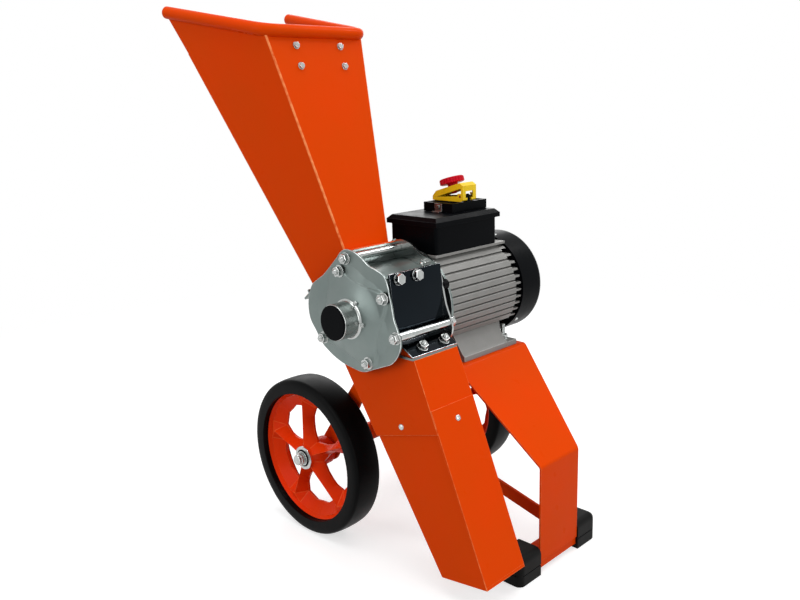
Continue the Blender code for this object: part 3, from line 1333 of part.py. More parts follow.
def rear_shield():
    """End shield at the fan end, with the rear bearing seat."""
    seat = BEARING_RADIUS + GAP
    front = MOTOR_REAR_Y + GAP
    back = front + REAR_SHIELD_SHEET
    end = back + REAR_BOSS_HEIGHT
    stop = front + BEARING_WIDTH + 2 * GAP
    lip = seat - SHIELD_LIP_DEPTH
    outer = COVER_RADIUS - COVER_WALL - GAP
    boss = REAR_BOSS_RADIUS
    profile = ((seat, front), (outer, COVER_FRONT_Y), (outer, back), (boss + REAR_BOSS_FILLET, back),
               (boss, end), (lip, end), (lip, stop), (seat, stop))
    return turned(profile, centre=SHAFT_LINE, segments=40)


def round_shaft(form, angle):
    """Turn a form made round Z by an angle and move it to the motor shaft."""
    bmesh.ops.transform(form, matrix=Matrix.Rotation(angle, 4, "Z"), verts=form.verts)
    return place(shifted(form, (AXIS_X, AXIS_Z, 0.0)), "Y")


def fan_cover():
    """Pressed fan cover with radial air slots in its end."""
    outer, wall = COVER_RADIUS, COVER_WALL
    corner, start = outer - COVER_ROUND, COVER_REAR_Y - COVER_ROUND
    angles = [pi / 2 * step / 4 for step in range(5)]
    bend = COVER_ROUND - wall
    profile = [(outer, COVER_FRONT_Y)]
    profile += [(corner + COVER_ROUND * cos(angle), start + COVER_ROUND * sin(angle)) for angle in angles]
    profile += [(0.0, COVER_REAR_Y), (0.0, COVER_REAR_Y - wall)]
    profile += [(corner + bend * cos(angle), start + bend * sin(angle)) for angle in reversed(angles)]
    profile.append((outer - wall, COVER_FRONT_Y))
    body = turned(profile, centre=SHAFT_LINE, segments=40)
    slots = []
    for index in range(GRILLE_SLOTS):
        form = block((GRILLE_INNER, -GRILLE_SLOT_WIDTH / 2, COVER_REAR_Y - COVER_ROUND / 2),
                     (GRILLE_OUTER, GRILLE_SLOT_WIDTH / 2, COVER_REAR_Y + COVER_ROUND))
        slots.append(round_shaft(form, 2 * pi * index / GRILLE_SLOTS))
    return cut(body, gathered(slots))


def rotor_shaft():
    """One shaft from the front bearing through the cutter and the motor to the fan, with the motor's core."""
    start = front_bearing_place() - SHAFT_TAIL
    shoulder = ROTOR_FRONT_Y - SHAFT_SHOULDER
    plate = REAR_PLATE_Y + REAR_PLATE_SHEET
    drive = drive_bearing_place() + BEARING_WIDTH + GAP
    middle = (MOTOR_FRONT_Y + MOTOR_REAR_Y) / 2
    low, high = middle - STATOR_LENGTH / 2, middle + STATOR_LENGTH / 2
    fan_end = COVER_REAR_Y - COVER_ROUND - SHAFT_END_MARGIN
    profile = ((0.0, start), (JOURNAL_RADIUS, start), (JOURNAL_RADIUS, shoulder), (SHAFT_RADIUS, shoulder),
               (SHAFT_RADIUS, plate), (JOURNAL_RADIUS, plate), (JOURNAL_RADIUS, drive), (SHAFT_RADIUS, drive),
               (SHAFT_RADIUS, low), (CORE_RADIUS, low), (CORE_RADIUS, high), (SHAFT_RADIUS, high),
               (SHAFT_RADIUS, MOTOR_REAR_Y), (JOURNAL_RADIUS, MOTOR_REAR_Y),
               (JOURNAL_RADIUS, fan_end), (0.0, fan_end))
    return turned(profile, centre=SHAFT_LINE, segments=24)


def front_bearing_place():
    return BEARING_TUBE_END_Y + FRONT_BEARING_SETBACK


def drive_bearing_place():
    return REAR_PLATE_Y + REAR_PLATE_SHEET + 2 * GAP + SHIELD_LIP


def bearing(start):
    """Ball bearing as one ring with a shallow groove between its races."""
    inner, outer, end = JOURNAL_RADIUS + GAP, BEARING_RADIUS, start + BEARING_WIDTH
    third = (outer - inner) / 3
    groove = start + BEARING_GROOVE
    profile = ((inner, start), (inner + third, start), (inner + third, groove), (outer - third, groove),
               (outer - third, start), (outer, start), (outer, end), (inner, end))
    return turned(profile, centre=SHAFT_LINE, segments=20)


def cutter_rotor():
    """Steel cutter rotor with two flat knife seats."""
    rear = ROTOR_FRONT_Y + ROTOR_LENGTH
    body = rod(ROTOR_RADIUS, ROTOR_FRONT_Y, rear, centre=SHAFT_LINE, segments=48)
    flats = []
    for side in (-1, 1):
        low, high = sorted((side * KNIFE_SEAT, side * (ROTOR_RADIUS + THROUGH)))
        flats.append(block((AXIS_X + low, ROTOR_FRONT_Y - THROUGH, AXIS_Z - ROTOR_RADIUS - THROUGH),
                           (AXIS_X + high, rear + THROUGH, AXIS_Z + ROTOR_RADIUS + THROUGH)))
    bore = rod(SHAFT_RADIUS + GAP, ROTOR_FRONT_Y - THROUGH, rear + THROUGH, centre=SHAFT_LINE, segments=32)
    return cut(body, gathered(flats), bore)


def knife(side):
    """Flat knife with a ground edge and two bolt heads; side 1 cuts downwards at +X, side -1 is opposite."""
    seat = KNIFE_SEAT + GAP
    face = seat + KNIFE_SHEET
    outline = ((seat, -KNIFE_HEEL), (face, -KNIFE_HEEL), (face, KNIFE_TIP), (seat, KNIFE_TIP - KNIFE_BEVEL))
    outline = [(AXIS_X + side * x, AXIS_Z + side * z) for x, z in outline]
    front = ROTOR_FRONT_Y + KNIFE_MARGIN
    rear = ROTOR_FRONT_Y + ROTOR_LENGTH - KNIFE_MARGIN
    body = extruded(outline, front, rear)
    heads = []
    for share in (0.25, 0.75):
        spot = (front + (rear - front) * share, AXIS_Z)
        low, high = sorted((AXIS_X + side * (face - WELD), AXIS_X + side * (face + KNIFE_BOLT_HEIGHT)))
        heads.append(hexagon(KNIFE_BOLT_WIDTH, low, high, "X", spot))
    return joined(body, *heads)


def cooling_fan():
    """Plastic fan: hub, back disc and straight blades."""
    disc_y = MOTOR_REAR_Y + FAN_SETBACK
    end = COVER_REAR_Y - COVER_ROUND - FAN_MARGIN
    blade_end = COVER_REAR_Y - COVER_ROUND - FAN_BLADE_MARGIN
    bore = JOURNAL_RADIUS + GAP
    parts = [pipe(FAN_HUB_RADIUS, bore, disc_y, end, centre=SHAFT_LINE, segments=32),
             pipe(FAN_DISC_RADIUS, bore + WELD, disc_y, disc_y + FAN_DISC, centre=SHAFT_LINE, segments=32)]
    for index in range(FAN_BLADES):
        form = block((FAN_HUB_RADIUS - WELD, -FAN_BLADE / 2, disc_y + WELD),
                     (FAN_RADIUS, FAN_BLADE / 2, blade_end))
        parts.append(round_shaft(form, 2 * pi * index / FAN_BLADES))
    return joined(*parts)


def box_floor():
    return AXIS_Z + MOTOR_PAD_HEIGHT + GAP


def capacitor_box():
    """Open-topped electrical box on the motor's pad."""
    low = box_floor()
    body = block((AXIS_X - BOX_HALF_X, BOX_FRONT_Y, low), (AXIS_X + BOX_HALF_X, BOX_REAR_Y, low + BOX_HEIGHT))
    upright = [edge for edge in body.edges if abs(edge.verts[0].co.z - edge.verts[1].co.z) > BOX_HEIGHT / 2]
    bmesh.ops.bevel(body, geom=upright, offset=BOX_CORNER, segments=3, profile=0.5, affect="EDGES")
    wall = BOX_WALL
    hollow = block((AXIS_X - BOX_HALF_X + wall, BOX_FRONT_Y + wall, low + wall),
                   (AXIS_X + BOX_HALF_X - wall, BOX_REAR_Y - wall, low + BOX_HEIGHT + THROUGH))
    gland = rod(GLAND_RADIUS + GAP, BOX_REAR_Y - THROUGH, BOX_REAR_Y + THROUGH, centre=GLAND_SPOT)
    return cut(tidy(body), hollow, gland)


def cable_gland():
    """Cable gland in the box end, its clamp nut outside."""
    back = BOX_REAR_Y - BOX_WALL
    outside = BOX_REAR_Y + GAP
    nut_end = outside + GLAND_NUT
    body = joined(rod(GLAND_RADIUS, back - GLAND_NUT, outside + GLAND_NUT / 2, centre=GLAND_SPOT),
                  hexagon(GLAND_NUT_WIDTH, outside, nut_end, centre=GLAND_SPOT),
                  rod(GLAND_RADIUS + WELD, nut_end - WELD, outside + GLAND_COLLAR, centre=GLAND_SPOT))
    return cut(body, rod(GLAND_BORE, back - THROUGH, outside + THROUGH, centre=GLAND_SPOT, segments=16))


def run_capacitor():
    """Motor capacitor lying along the box."""
    start = BOX_FRONT_Y + CAPACITOR_MARGIN
    spot = (AXIS_X - CAPACITOR_OFFSET, box_floor() + BOX_WALL + GAP + CAPACITOR_RADIUS)
    return rod(CAPACITOR_RADIUS, start, start + CAPACITOR_LENGTH, centre=spot, segments=28)


def lid_base():
    return box_floor() + BOX_HEIGHT + GAP


def lid_top():
    return lid_base() + LID_HEIGHT


def box_lid():
    """Lid with a chamfered top, overhanging the box all round."""
    low = lid_base()
    over = LID_OVERHANG
    edges = (AXIS_X - BOX_HALF_X - over, AXIS_X + BOX_HALF_X + over, BOX_FRONT_Y - over, BOX_REAR_Y + over)

    def ring(inset):
        return ((edges[0] + inset, edges[2] + inset), (edges[1] - inset, edges[2] + inset),
                (edges[1] - inset, edges[3] - inset), (edges[0] + inset, edges[3] - inset))

    skirt = extruded(ring(0.0), low, low + LID_HEIGHT - LID_CHAMFER + WELD, "Z")
    slope = lofted(ring(0.0), ring(LID_CHAMFER), low + LID_HEIGHT - LID_CHAMFER, low + LID_HEIGHT, "Z")
    hollow = extruded(ring(over + BOX_WALL), low - THROUGH, low + LID_HEIGHT - BOX_WALL, "Z")
    inner = SWITCH_HALF_X - SWITCH_RIM
    window = block((AXIS_X - inner, SWITCH_FRONT_Y + SWITCH_RIM, low),
                   (AXIS_X + inner, SWITCH_FRONT_Y + SWITCH_LENGTH - SWITCH_RIM, low + LID_HEIGHT + THROUGH))
    return cut(joined(skirt, slope), hollow, window)


def switch_top():
    return lid_top() + GAP + SWITCH_HEIGHT


def switch_body():
    """Switch mounting on the lid, with two button wells and the hinge post of the flap."""
    low = lid_top() + GAP
    top = switch_top()
    rear = SWITCH_FRONT_Y + SWITCH_LENGTH
    body = block((AXIS_X - SWITCH_HALF_X, SWITCH_FRONT_Y, low), (AXIS_X + SWITCH_HALF_X, rear, top))
    inner = SWITCH_HALF_X - SWITCH_RIM
    margin = GUARD_HALF_Y + RECESS_MARGIN
    floor = top - RECESS_DEPTH
    recess = gathered([block((AXIS_X - inner, start, floor), (AXIS_X + inner, end, top + THROUGH))
                       for start, end in ((SWITCH_FRONT_Y + SWITCH_RIM, GUARD_MID_Y - margin),
                                          (GUARD_MID_Y + margin, rear - SWITCH_RIM))])
    wells = gathered([block((x - BUTTON_HALF_X - GAP, GUARD_MID_Y - BUTTON_HALF_Y - GAP, low + WELL_FLOOR),
                            (x + BUTTON_HALF_X + GAP, GUARD_MID_Y + BUTTON_HALF_Y + GAP, top + THROUGH))
                      for x in (STOP_BUTTON_X, START_BUTTON_X)])
    hinge_x, hinge_z = hinge_place()
    near, far = GUARD_MID_Y - HINGE_POST_HALF, GUARD_MID_Y + HINGE_POST_HALF
    radius = HINGE_POST_RADIUS
    post = joined(block((hinge_x - radius, near, top - WELD), (hinge_x + radius, far, hinge_z)),
                  rod(radius, near, far, centre=(hinge_x, hinge_z)))
    pin = rod(HINGE_PIN_RADIUS + GAP, near - THROUGH, far + THROUGH, centre=(hinge_x, hinge_z), segments=16)
    return cut(joined(cut(body, recess), post), wells, pin)


def hinge_place():
    """X and Z of the flap's hinge pin."""
    return AXIS_X + SWITCH_HALF_X - GUARD_HINGE_SETBACK, switch_top() + GUARD_HINGE_HEIGHT


def switch_clip():
    """Steel clip that holds the switch mounting to the lid at its near end."""
    low = lid_top() + GAP
    front = SWITCH_FRONT_Y - GAP
    face = front - CLIP_SHEET
    middle = AXIS_X + CLIP_OFFSET
    near, far = middle - CLIP_HALF, middle + CLIP_HALF
    plate = block((near, face, low), (far, front, switch_top() - CLIP_TOP_GAP))
    tab = block((near, front - CLIP_TAB, low), (far, front, low + CLIP_SHEET))
    screw = rod(CLIP_SCREW_RADIUS, face - CLIP_SCREW_HEAD, face + WELD,
                centre=(middle, low + CLIP_SCREW_HEIGHT), segments=16)
    return joined(plate, tab, screw)


def guard_outline(inset=0.0):
    """Side view of the flap, a wedge rising towards the hinge, its heel rounded about the hinge."""
    low = switch_top() + GAP
    tip = AXIS_X - SWITCH_HALF_X - GUARD_TIP_OVERHANG
    back = AXIS_X + SWITCH_HALF_X
    crown = [(back - inset, low + GUARD_TOP_HEIGHT - GUARD_CHAMFER - inset),
             (back - GUARD_SHOULDER, low + GUARD_TOP_HEIGHT - inset),
             (tip + GUARD_SHOULDER + inset / 2, low + GUARD_TIP_HEIGHT - inset),
             (tip + inset, low + GUARD_NOSE)]
    if inset:
        return [(tip + inset, low - THROUGH), (back - inset, low - THROUGH)] + crown
    hinge_x, hinge_z = hinge_place()
    sweep = hinge_z - low
    start, end = -pi / 2, atan2(-sqrt(sweep ** 2 - GUARD_HINGE_SETBACK ** 2), GUARD_HINGE_SETBACK)
    heel = [(hinge_x + sweep * cos(angle), hinge_z + sweep * sin(angle))
            for angle in (start + (end - start) * step / 4 for step in range(5))]
    return [(tip, low)] + heel + crown


def guard_slope():
    """Unit vector up the sloping top of the flap and the height of the top over the mushroom's place."""
    outline = guard_outline()
    high, low = Vector(outline[-3]), Vector(outline[-2])
    along = (high - low).normalized()
    height = low.y + along.y / along.x * (MUSHROOM_X - low.x)
    return along, height


def emergency_flap():
    """Yellow flap over the buttons: a wedge shell with side and end windows, hinged at its tall end."""
    near, far = GUARD_MID_Y - GUARD_HALF_Y, GUARD_MID_Y + GUARD_HALF_Y
    shell = extruded(guard_outline(), near, far)
    hollow = extruded(guard_outline(GUARD_WALL), near + GUARD_WALL, far - GUARD_WALL)
    low = switch_top() + GAP
    tip = AXIS_X - SWITCH_HALF_X - GUARD_TIP_OVERHANG
    back = AXIS_X + SWITCH_HALF_X
    across = (near - THROUGH, far + THROUGH)
    hinge_x, hinge_z = hinge_place()
    edge, eye_x, eye_z = back - WINDOW_BACK, hinge_x - PIN_EYE, hinge_z + PIN_EYE
    window = extruded(((tip + WINDOW_TIP, low + WINDOW_LOW), (eye_x, low + WINDOW_SILL), (eye_x, eye_z),
                       (edge, eye_z), (edge, low + WINDOW_HIGH)), *across)
    rear_window = block((back - GUARD_WALL - GAP, GUARD_MID_Y - END_WINDOW_HALF, low + END_WINDOW_LOW),
                        (back + THROUGH, GUARD_MID_Y + END_WINDOW_HALF, low + END_WINDOW_HIGH))
    half = HINGE_POST_HALF + 2 * GAP
    notch = block((back - GUARD_WALL - GUARD_HINGE_SETBACK, GUARD_MID_Y - half, low - THROUGH),
                  (back + THROUGH, GUARD_MID_Y + half, hinge_z + HINGE_NOTCH_HEIGHT))
    pin = rod(HINGE_PIN_RADIUS + GAP, near - THROUGH, far + THROUGH, centre=(hinge_x, hinge_z), segments=16)
    stem = mushroom_turn(rod(MUSHROOM_STEM_RADIUS + GAP, -THROUGH / 2, THROUGH / 2, "Z", segments=24))
    return cut(shell, hollow, window, rear_window, notch, pin, stem)


def mushroom_turn(form):
    """Stand a form made round Z square on the flap's slope at the mushroom's place."""
    along, height = guard_slope()
    turn = Matrix.Rotation(-atan2(along.y, along.x), 4, "Y")
    spot = Matrix.Translation((MUSHROOM_X, GUARD_MID_Y, height))
    bmesh.ops.transform(form, matrix=spot @ turn, verts=form.verts)
    return form


def stop_mushroom():
    """Red mushroom cap on a stem through the flap, its plunger just above the stop button when pressed."""
    lift, top = MUSHROOM_LIFT, MUSHROOM_LIFT + MUSHROOM_CAP
    radius, stem = MUSHROOM_RADIUS, MUSHROOM_STEM_RADIUS
    along, height = guard_slope()
    reach = (height - switch_top() - BUTTON_RISE) / along.x - MUSHROOM_TRAVEL - PLUNGER_RADIUS
    profile = ((0.0, -reach), (PLUNGER_RADIUS, -reach), (PLUNGER_RADIUS, -MUSHROOM_STEM_DEPTH),
               (stem, -MUSHROOM_STEM_DEPTH), (stem, lift), (radius - MUSHROOM_EDGE, lift),
               (radius, lift + MUSHROOM_EDGE), (radius, top - MUSHROOM_CROWN), (radius - MUSHROOM_CROWN, top),
               (0.0, top))
    return mushroom_turn(turned(profile, "Z", segments=28))


def flap_pin():
    near, far = GUARD_MID_Y - GUARD_HALF_Y, GUARD_MID_Y + GUARD_HALF_Y
    return rod(HINGE_PIN_RADIUS, near + GAP, far - GAP, centre=hinge_place(), segments=16)


def push_button(x):
    """Rectangular button standing in its well."""
    low = lid_top() + GAP + BUTTON_SEAT
    top = switch_top() + BUTTON_RISE
    return block((x - BUTTON_HALF_X, GUARD_MID_Y - BUTTON_HALF_Y, low),
                 (x + BUTTON_HALF_X, GUARD_MID_Y + BUTTON_HALF_Y, top))


def build():
    clear_scene()
    orange = material("orange paint", (0.80, 0.10, 0.006), 0.32)
    orange_plastic = material("orange plastic", (0.72, 0.06, 0.008), 0.38)
    zinc = material("zinc plate", (0.52, 0.54, 0.55), 0.34, 1.0)
    dark_zinc = material("dark zinc plate", (0.20, 0.22, 0.24), 0.18, 1.0)
    steel = material("bright steel", (0.62, 0.62, 0.62), 0.30, 1.0)
    cast = material("cast aluminium", (0.36, 0.35, 0.33), 0.55, 0.6)
    dark_cast = material("dark casting", (0.03, 0.03, 0.035), 0.5, 0.3)
    black = material("black plastic", (0.012, 0.012, 0.014), 0.42)
    rubber = material("black rubber", (0.018, 0.018, 0.018), 0.75)
    yellow = material("yellow plastic", (0.90, 0.62, 0.02), 0.38)
    red = material("red plastic", (0.62, 0.01, 0.02), 0.35)
    green = material("green plastic", (0.02, 0.35, 0.06), 0.4)
    copper = material("copper winding", (0.55, 0.22, 0.08), 0.5, 0.7)

    base = empty("shredder", (0, 0, 0))
    piece("stand_frame", stand_frame(), orange, base)
    foot = rubber_foot()
    piece("far_foot", foot.copy(), rubber, base)
    piece("near_foot", mirrored(foot), rubber, base)
    piece("axle", axle(), steel, base, edge=0.0008)

    for name, side in (("near", 1), ("far", -1)):
        carrier = empty(name + "_wheel_axis", (0.0, -side * WHEEL_CENTRE_Y, WHEEL_RADIUS), base)
        for part, maker, look, holder in (("wheel_centre", wheel_centre, orange_plastic, carrier),
                                          ("tyre", tyre, rubber, carrier),
                                          ("axle_nut", axle_nut, steel, base)):
            form = maker() if side > 0 else mirrored(maker())
            piece(name + "_" + part, form, look, holder)

    piece("cutter_housing", cutter_housing(), zinc, base)
    piece("front_cover", front_cover(), zinc, base)
    piece("bearing_tube", bearing_tube(), zinc, base)
    piece("end_plug", end_plug(), black, base)
    piece("rear_plate", rear_plate(), zinc, base)
    piece("side_plate", side_plate(), dark_zinc, base)
    piece("counter_knife", counter_knife_form(), steel, base)
    piece("upper_tie_stud", tie_stud(STUD_UPPER), steel, base)
    piece("lower_tie_stud", tie_stud(STUD_LOWER), steel, base)
    piece("chute_upper", chute_upper(), orange, base)
    piece("chute_lower", chute_lower(), orange, base)
    for name, form in (("hopper_near_wall", hopper_side(-1)), ("hopper_far_wall", hopper_side(1)),
                       ("hopper_front_wall", hopper_front()), ("hopper_rear_wall", hopper_rear()),
                       ("hopper_lip", hopper_lip())):
        piece(name, form, orange, base)
    piece("hopper_rim", hopper_rim(), orange, base)
    piece("hopper_clamp", hopper_clamp(), steel, base)
    piece("hopper_flap", hopper_flap(), rubber, base)

    piece("motor_housing", motor_housing(), cast, base)
    piece("motor_front_foot", motor_foot(1), cast, base)
    piece("motor_rear_foot", motor_foot(-1), cast, base)
    for index, spot in enumerate(motor_bolt_spots(), 1):
        piece("motor_bolt_%d" % index, motor_bolt(spot), steel, base)
    piece("motor_end_shield", motor_end_shield(), dark_cast, base)
    piece("motor_ring", motor_ring(), zinc, base)
    piece("stator", stator(), copper, base)
    piece("rear_shield", rear_shield(), dark_cast, base)
    piece("fan_cover", fan_cover(), black, base)
    piece("front_bearing", bearing(front_bearing_place()), steel, base)
    piece("drive_bearing", bearing(drive_bearing_place()), steel, base)
    piece("rear_bearing", bearing(MOTOR_REAR_Y + 2 * GAP), steel, base)

    spin = empty("rotor_axis", (AXIS_X, 0.0, AXIS_Z), base)
    piece("rotor_shaft", rotor_shaft(), steel, spin)
    piece("cutter_rotor", cutter_rotor(), steel, spin)
    piece("knife_1", knife(1), steel, spin)
    piece("knife_2", knife(-1), steel, spin)
    piece("cooling_fan", cooling_fan(), black, spin)

    piece("capacitor_box", capacitor_box(), black, base)
    piece("run_capacitor", run_capacitor(), zinc, base)
    piece("cable_gland", cable_gland(), black, base)
    piece("box_lid", box_lid(), black, base)
    piece("switch_body", switch_body(), black, base)
    piece("switch_clip", switch_clip(), zinc, base)
    hinge_x, hinge_z = hinge_place()
    hinge = empty("flap_hinge", (hinge_x, GUARD_MID_Y, hinge_z), base)
    piece("flap_pin", flap_pin(), steel, base)
    piece("emergency_flap", emergency_flap(), yellow, hinge)
    slide = empty("mushroom_axis", (MUSHROOM_X, GUARD_MID_Y, guard_slope()[1]), None)
    slide.location = slide.location - hinge.location
    slide.parent = hinge
    piece("stop_mushroom", stop_mushroom(), red, slide)
    for name, x, look in (("stop_button", STOP_BUTTON_X, red), ("start_button", START_BUTTON_X, green)):
        carrier = empty(name + "_axis", (x, GUARD_MID_Y, switch_top()), base)
        piece(name, push_button(x), look, carrier, edge=0.0008)


build()
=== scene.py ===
"""Looks of an electric garden shredder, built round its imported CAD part."""

import json
import logging
from dataclasses import dataclass
from enum import Enum
from math import atan2, cos, degrees, pi, radians, sin, sqrt, tan
from typing import Optional, Sequence, Union

import bmesh
import bpy
from mathutils import Matrix, Vector

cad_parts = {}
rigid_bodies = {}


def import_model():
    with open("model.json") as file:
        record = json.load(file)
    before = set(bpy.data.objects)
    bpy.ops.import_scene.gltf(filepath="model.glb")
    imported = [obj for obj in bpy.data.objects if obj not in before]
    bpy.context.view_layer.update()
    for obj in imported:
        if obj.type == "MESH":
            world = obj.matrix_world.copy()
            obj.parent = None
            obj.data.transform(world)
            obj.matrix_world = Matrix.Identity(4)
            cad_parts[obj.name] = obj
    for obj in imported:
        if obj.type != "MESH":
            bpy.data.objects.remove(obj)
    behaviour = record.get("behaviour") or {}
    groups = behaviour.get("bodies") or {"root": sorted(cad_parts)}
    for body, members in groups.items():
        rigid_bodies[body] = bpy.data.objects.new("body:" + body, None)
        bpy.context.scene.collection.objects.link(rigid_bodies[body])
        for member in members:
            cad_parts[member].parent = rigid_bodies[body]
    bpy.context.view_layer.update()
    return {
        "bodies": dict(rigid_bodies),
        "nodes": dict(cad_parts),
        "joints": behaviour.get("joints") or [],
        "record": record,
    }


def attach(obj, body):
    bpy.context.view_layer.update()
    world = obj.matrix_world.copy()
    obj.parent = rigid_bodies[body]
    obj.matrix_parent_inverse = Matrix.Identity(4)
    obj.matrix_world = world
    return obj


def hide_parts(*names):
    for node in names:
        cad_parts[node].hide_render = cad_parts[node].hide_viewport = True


log = logging.getLogger("shredder")

Triple = tuple[float, float, float]
Pair = tuple[float, float]
Colour = Triple
Socket = bpy.types.NodeSocket

AXIS_X = 0.141
AXIS_Z = 0.381
WHEEL_RADIUS = 0.127
GAP = 0.0003
WHITE = (1.0, 1.0, 1.0, 1.0)
NEAR = Vector((0.0, -1.0, 0.0))
ROUNDING_STEPS = 6


class Slot(Enum):
    """Material slots of the record."""

    ORANGE_PAINT = "orange_paint"
    ORANGE_PLASTIC = "orange_plastic"
    ZINC = "zinc_plate"
    DARK_ZINC = "dark_zinc"
    STEEL = "bright_steel"
    CAST = "cast_aluminium"
    DARK_CASTING = "dark_casting"
    BLACK_PLASTIC = "black_plastic"
    RUBBER = "black_rubber"
    TYRE = "tyre_rubber"
    YELLOW = "yellow_plastic"
    RED = "red_plastic"
    GREEN = "green_plastic"
    WINDING = "winding"


class Grain(Enum):
    """How the fine relief of a finish is drawn."""

    PEEL = "peel"
    BRUSHED = "brushed"
    CAST = "cast"
    MOULDED = "moulded"


class Nodes:
    """The node tree of a material or of the world, filled a node at a time."""

    def __init__(self, owner: bpy.types.ID) -> None:
        """Open the owner's tree."""
        owner.use_nodes = True
        self.tree = owner.node_tree

    def fill(self, node: bpy.types.Node, inputs: dict) -> None:
        """Set a node's inputs.

        Args:
            node: The node.
            inputs: A value, or a socket to link, for each input's name or number.
        """
        for key, value in inputs.items():
            if isinstance(value, Socket):
                self.tree.links.new(value, node.inputs[key])
            else:
                node.inputs[key].default_value = value

    def add(self, kind: str, output: str, inputs: Optional[dict] = None, **settings: str) -> Socket:
        """Add a node.

        Args:
            kind: Its type, without the usual prefix.
            output: The output that is wanted.
            inputs: Its inputs, as for `fill`.
            **settings: Its other settings.

        Returns:
            The output.
        """
        node = self.tree.nodes.new("ShaderNode" + kind)
        for name, value in settings.items():
            setattr(node, name, value)
        self.fill(node, inputs or {})
        return node.outputs[output]

    def noise(self, place: Socket, scale: float, detail: float = 3.0) -> Socket:
        """Add a noise with a scale per metre and a number of octaves."""
        return self.add("TexNoise", "Fac", {"Vector": place, "Scale": scale, "Detail": detail})

    def spread(self, value: Socket, span: Pair, onto: Pair = (0.0, 1.0), easing: str = "LINEAR") -> Socket:
        """Map one span of values onto another."""
        inputs = {"Value": value, "From Min": span[0], "From Max": span[1], "To Min": onto[0], "To Max": onto[1]}
        return self.add("MapRange", "Result", inputs, interpolation_type=easing)

    def maths(self, operation: str, first: Socket, second: Socket) -> Socket:
        """Join two values by an operation."""
        return self.add("Math", "Value", {0: first, 1: second}, operation=operation)

    def mixed(self, share: Socket, first: Union[Socket, Colour], second: Colour) -> Socket:
        """Mix a colour, or the socket of one, with a second colour."""
        start = first if isinstance(first, Socket) else (*first, 1.0)
        return self.add("Mix", "Result", {"Factor": share, "A": start, "B": (*second, 1.0)}, data_type="RGBA")

    def seen(self) -> Socket:
        """Tell the rays that show the background, to the camera or in metal, from those that light the machine.

        Returns:
            One for a ray that shows the background.
        """
        path = self.tree.nodes.new("ShaderNodeLightPath")
        seen = path.outputs["Is Camera Ray"]
        for other in ("Is Glossy Ray", "Is Transmission Ray"):
            seen = self.maths("MAXIMUM", seen, path.outputs[other])
        return seen


@dataclass(frozen=True)
class Finish:
    """One surface finish: the shader's own settings and what its nodes draw over them."""

    name: str
    colour: Colour
    roughness: float
    metallic: float = 0.0
    specular: float = 0.5
    coat: float = 0.0
    coat_roughness: float = 0.08
    drift: Colour = (1.0, 1.0, 1.0)
    drift_scale: float = 9.0
    drift_span: Pair = (0.35, 0.65)
    gloss_drift: float = 0.05
    gloss_scale: float = 45.0
    gloss_span: Pair = (0.3, 0.7)
    grain: Grain = Grain.MOULDED
    grain_scale: float = 900.0
    grain_depth: float = 0.00002
    brush_stretch: Triple = (1.0, 0.04, 0.25)
    # Lighter colour on the rounded edges: partly wear, partly painted highlight along the folds.
    wear_and_highlight_colour: Optional[Colour] = None
    wear_and_highlight_share: float = 0.6
    wear_and_highlight_scale: float = 120.0
    wear_and_highlight_span: Pair = (0.25, 0.6)

    def build(self) -> bpy.types.Material:
        """Make the material of this finish.

        Returns:
            The node material.
        """
        look = bpy.data.materials.new(self.name)
        nodes = Nodes(look)
        place = nodes.add("TexCoord", "Object")
        gloss = (max(self.roughness - self.gloss_drift, 0.02), self.roughness + self.gloss_drift)
        nodes.fill(nodes.tree.nodes["Principled BSDF"], {
            "Metallic": self.metallic, "Specular IOR Level": self.specular,
            "Coat Weight": self.coat, "Coat Roughness": self.coat_roughness,
            "Base Color": self._tint(nodes, place),
            "Roughness": nodes.spread(nodes.noise(place, self.gloss_scale, 4.0), self.gloss_span, gloss),
            "Normal": self._relief(nodes, place)})
        return look

    def _tint(self, nodes: Nodes, place: Socket) -> Socket:
        """Draw the colour: a slow drift over the surface, and a lighter colour along the rounded edges that is partly
        wear and partly painted highlight.

        Args:
            nodes: The material's nodes.
            place: The object's coordinates.

        Returns:
            The colour.
        """
        drifted = tuple(value * factor for value, factor in zip(self.colour, self.drift))
        share = nodes.spread(nodes.noise(place, self.drift_scale), self.drift_span)
        tint = nodes.mixed(share, self.colour, drifted)
        if self.wear_and_highlight_colour is None:
            return tint
        # Painted highlight with some wear: the rounded edges are lightened where the patch noise allows.
        edge = nodes.add("Attribute", "Fac", attribute_name="edge")
        patch = nodes.spread(nodes.noise(place, self.wear_and_highlight_scale), self.wear_and_highlight_span, (0.0, self.wear_and_highlight_share))
        return nodes.mixed(nodes.maths("MULTIPLY", edge, patch), tint, self.wear_and_highlight_colour)

    def _relief(self, nodes: Nodes, place: Socket) -> Socket:
        """Draw the fine relief as a bump.

        Args:
            nodes: The material's nodes.
            place: The object's coordinates.

        Returns:
            The bumped normal.
        """
        if self.grain is Grain.BRUSHED:
            along = nodes.add("Mapping", "Vector", {"Vector": place, "Scale": self.brush_stretch})
            height = nodes.noise(along, self.grain_scale, 2.0)
        elif self.grain is Grain.CAST:
            height = nodes.add("TexVoronoi", "Distance", {"Vector": place, "Scale": self.grain_scale},
                               feature="SMOOTH_F1")
        else:
            height = nodes.noise(place, self.grain_scale, 1.0 if self.grain is Grain.PEEL else 4.0)
        return nodes.add("Bump", "Normal", {"Distance": self.grain_depth, "Height": height})
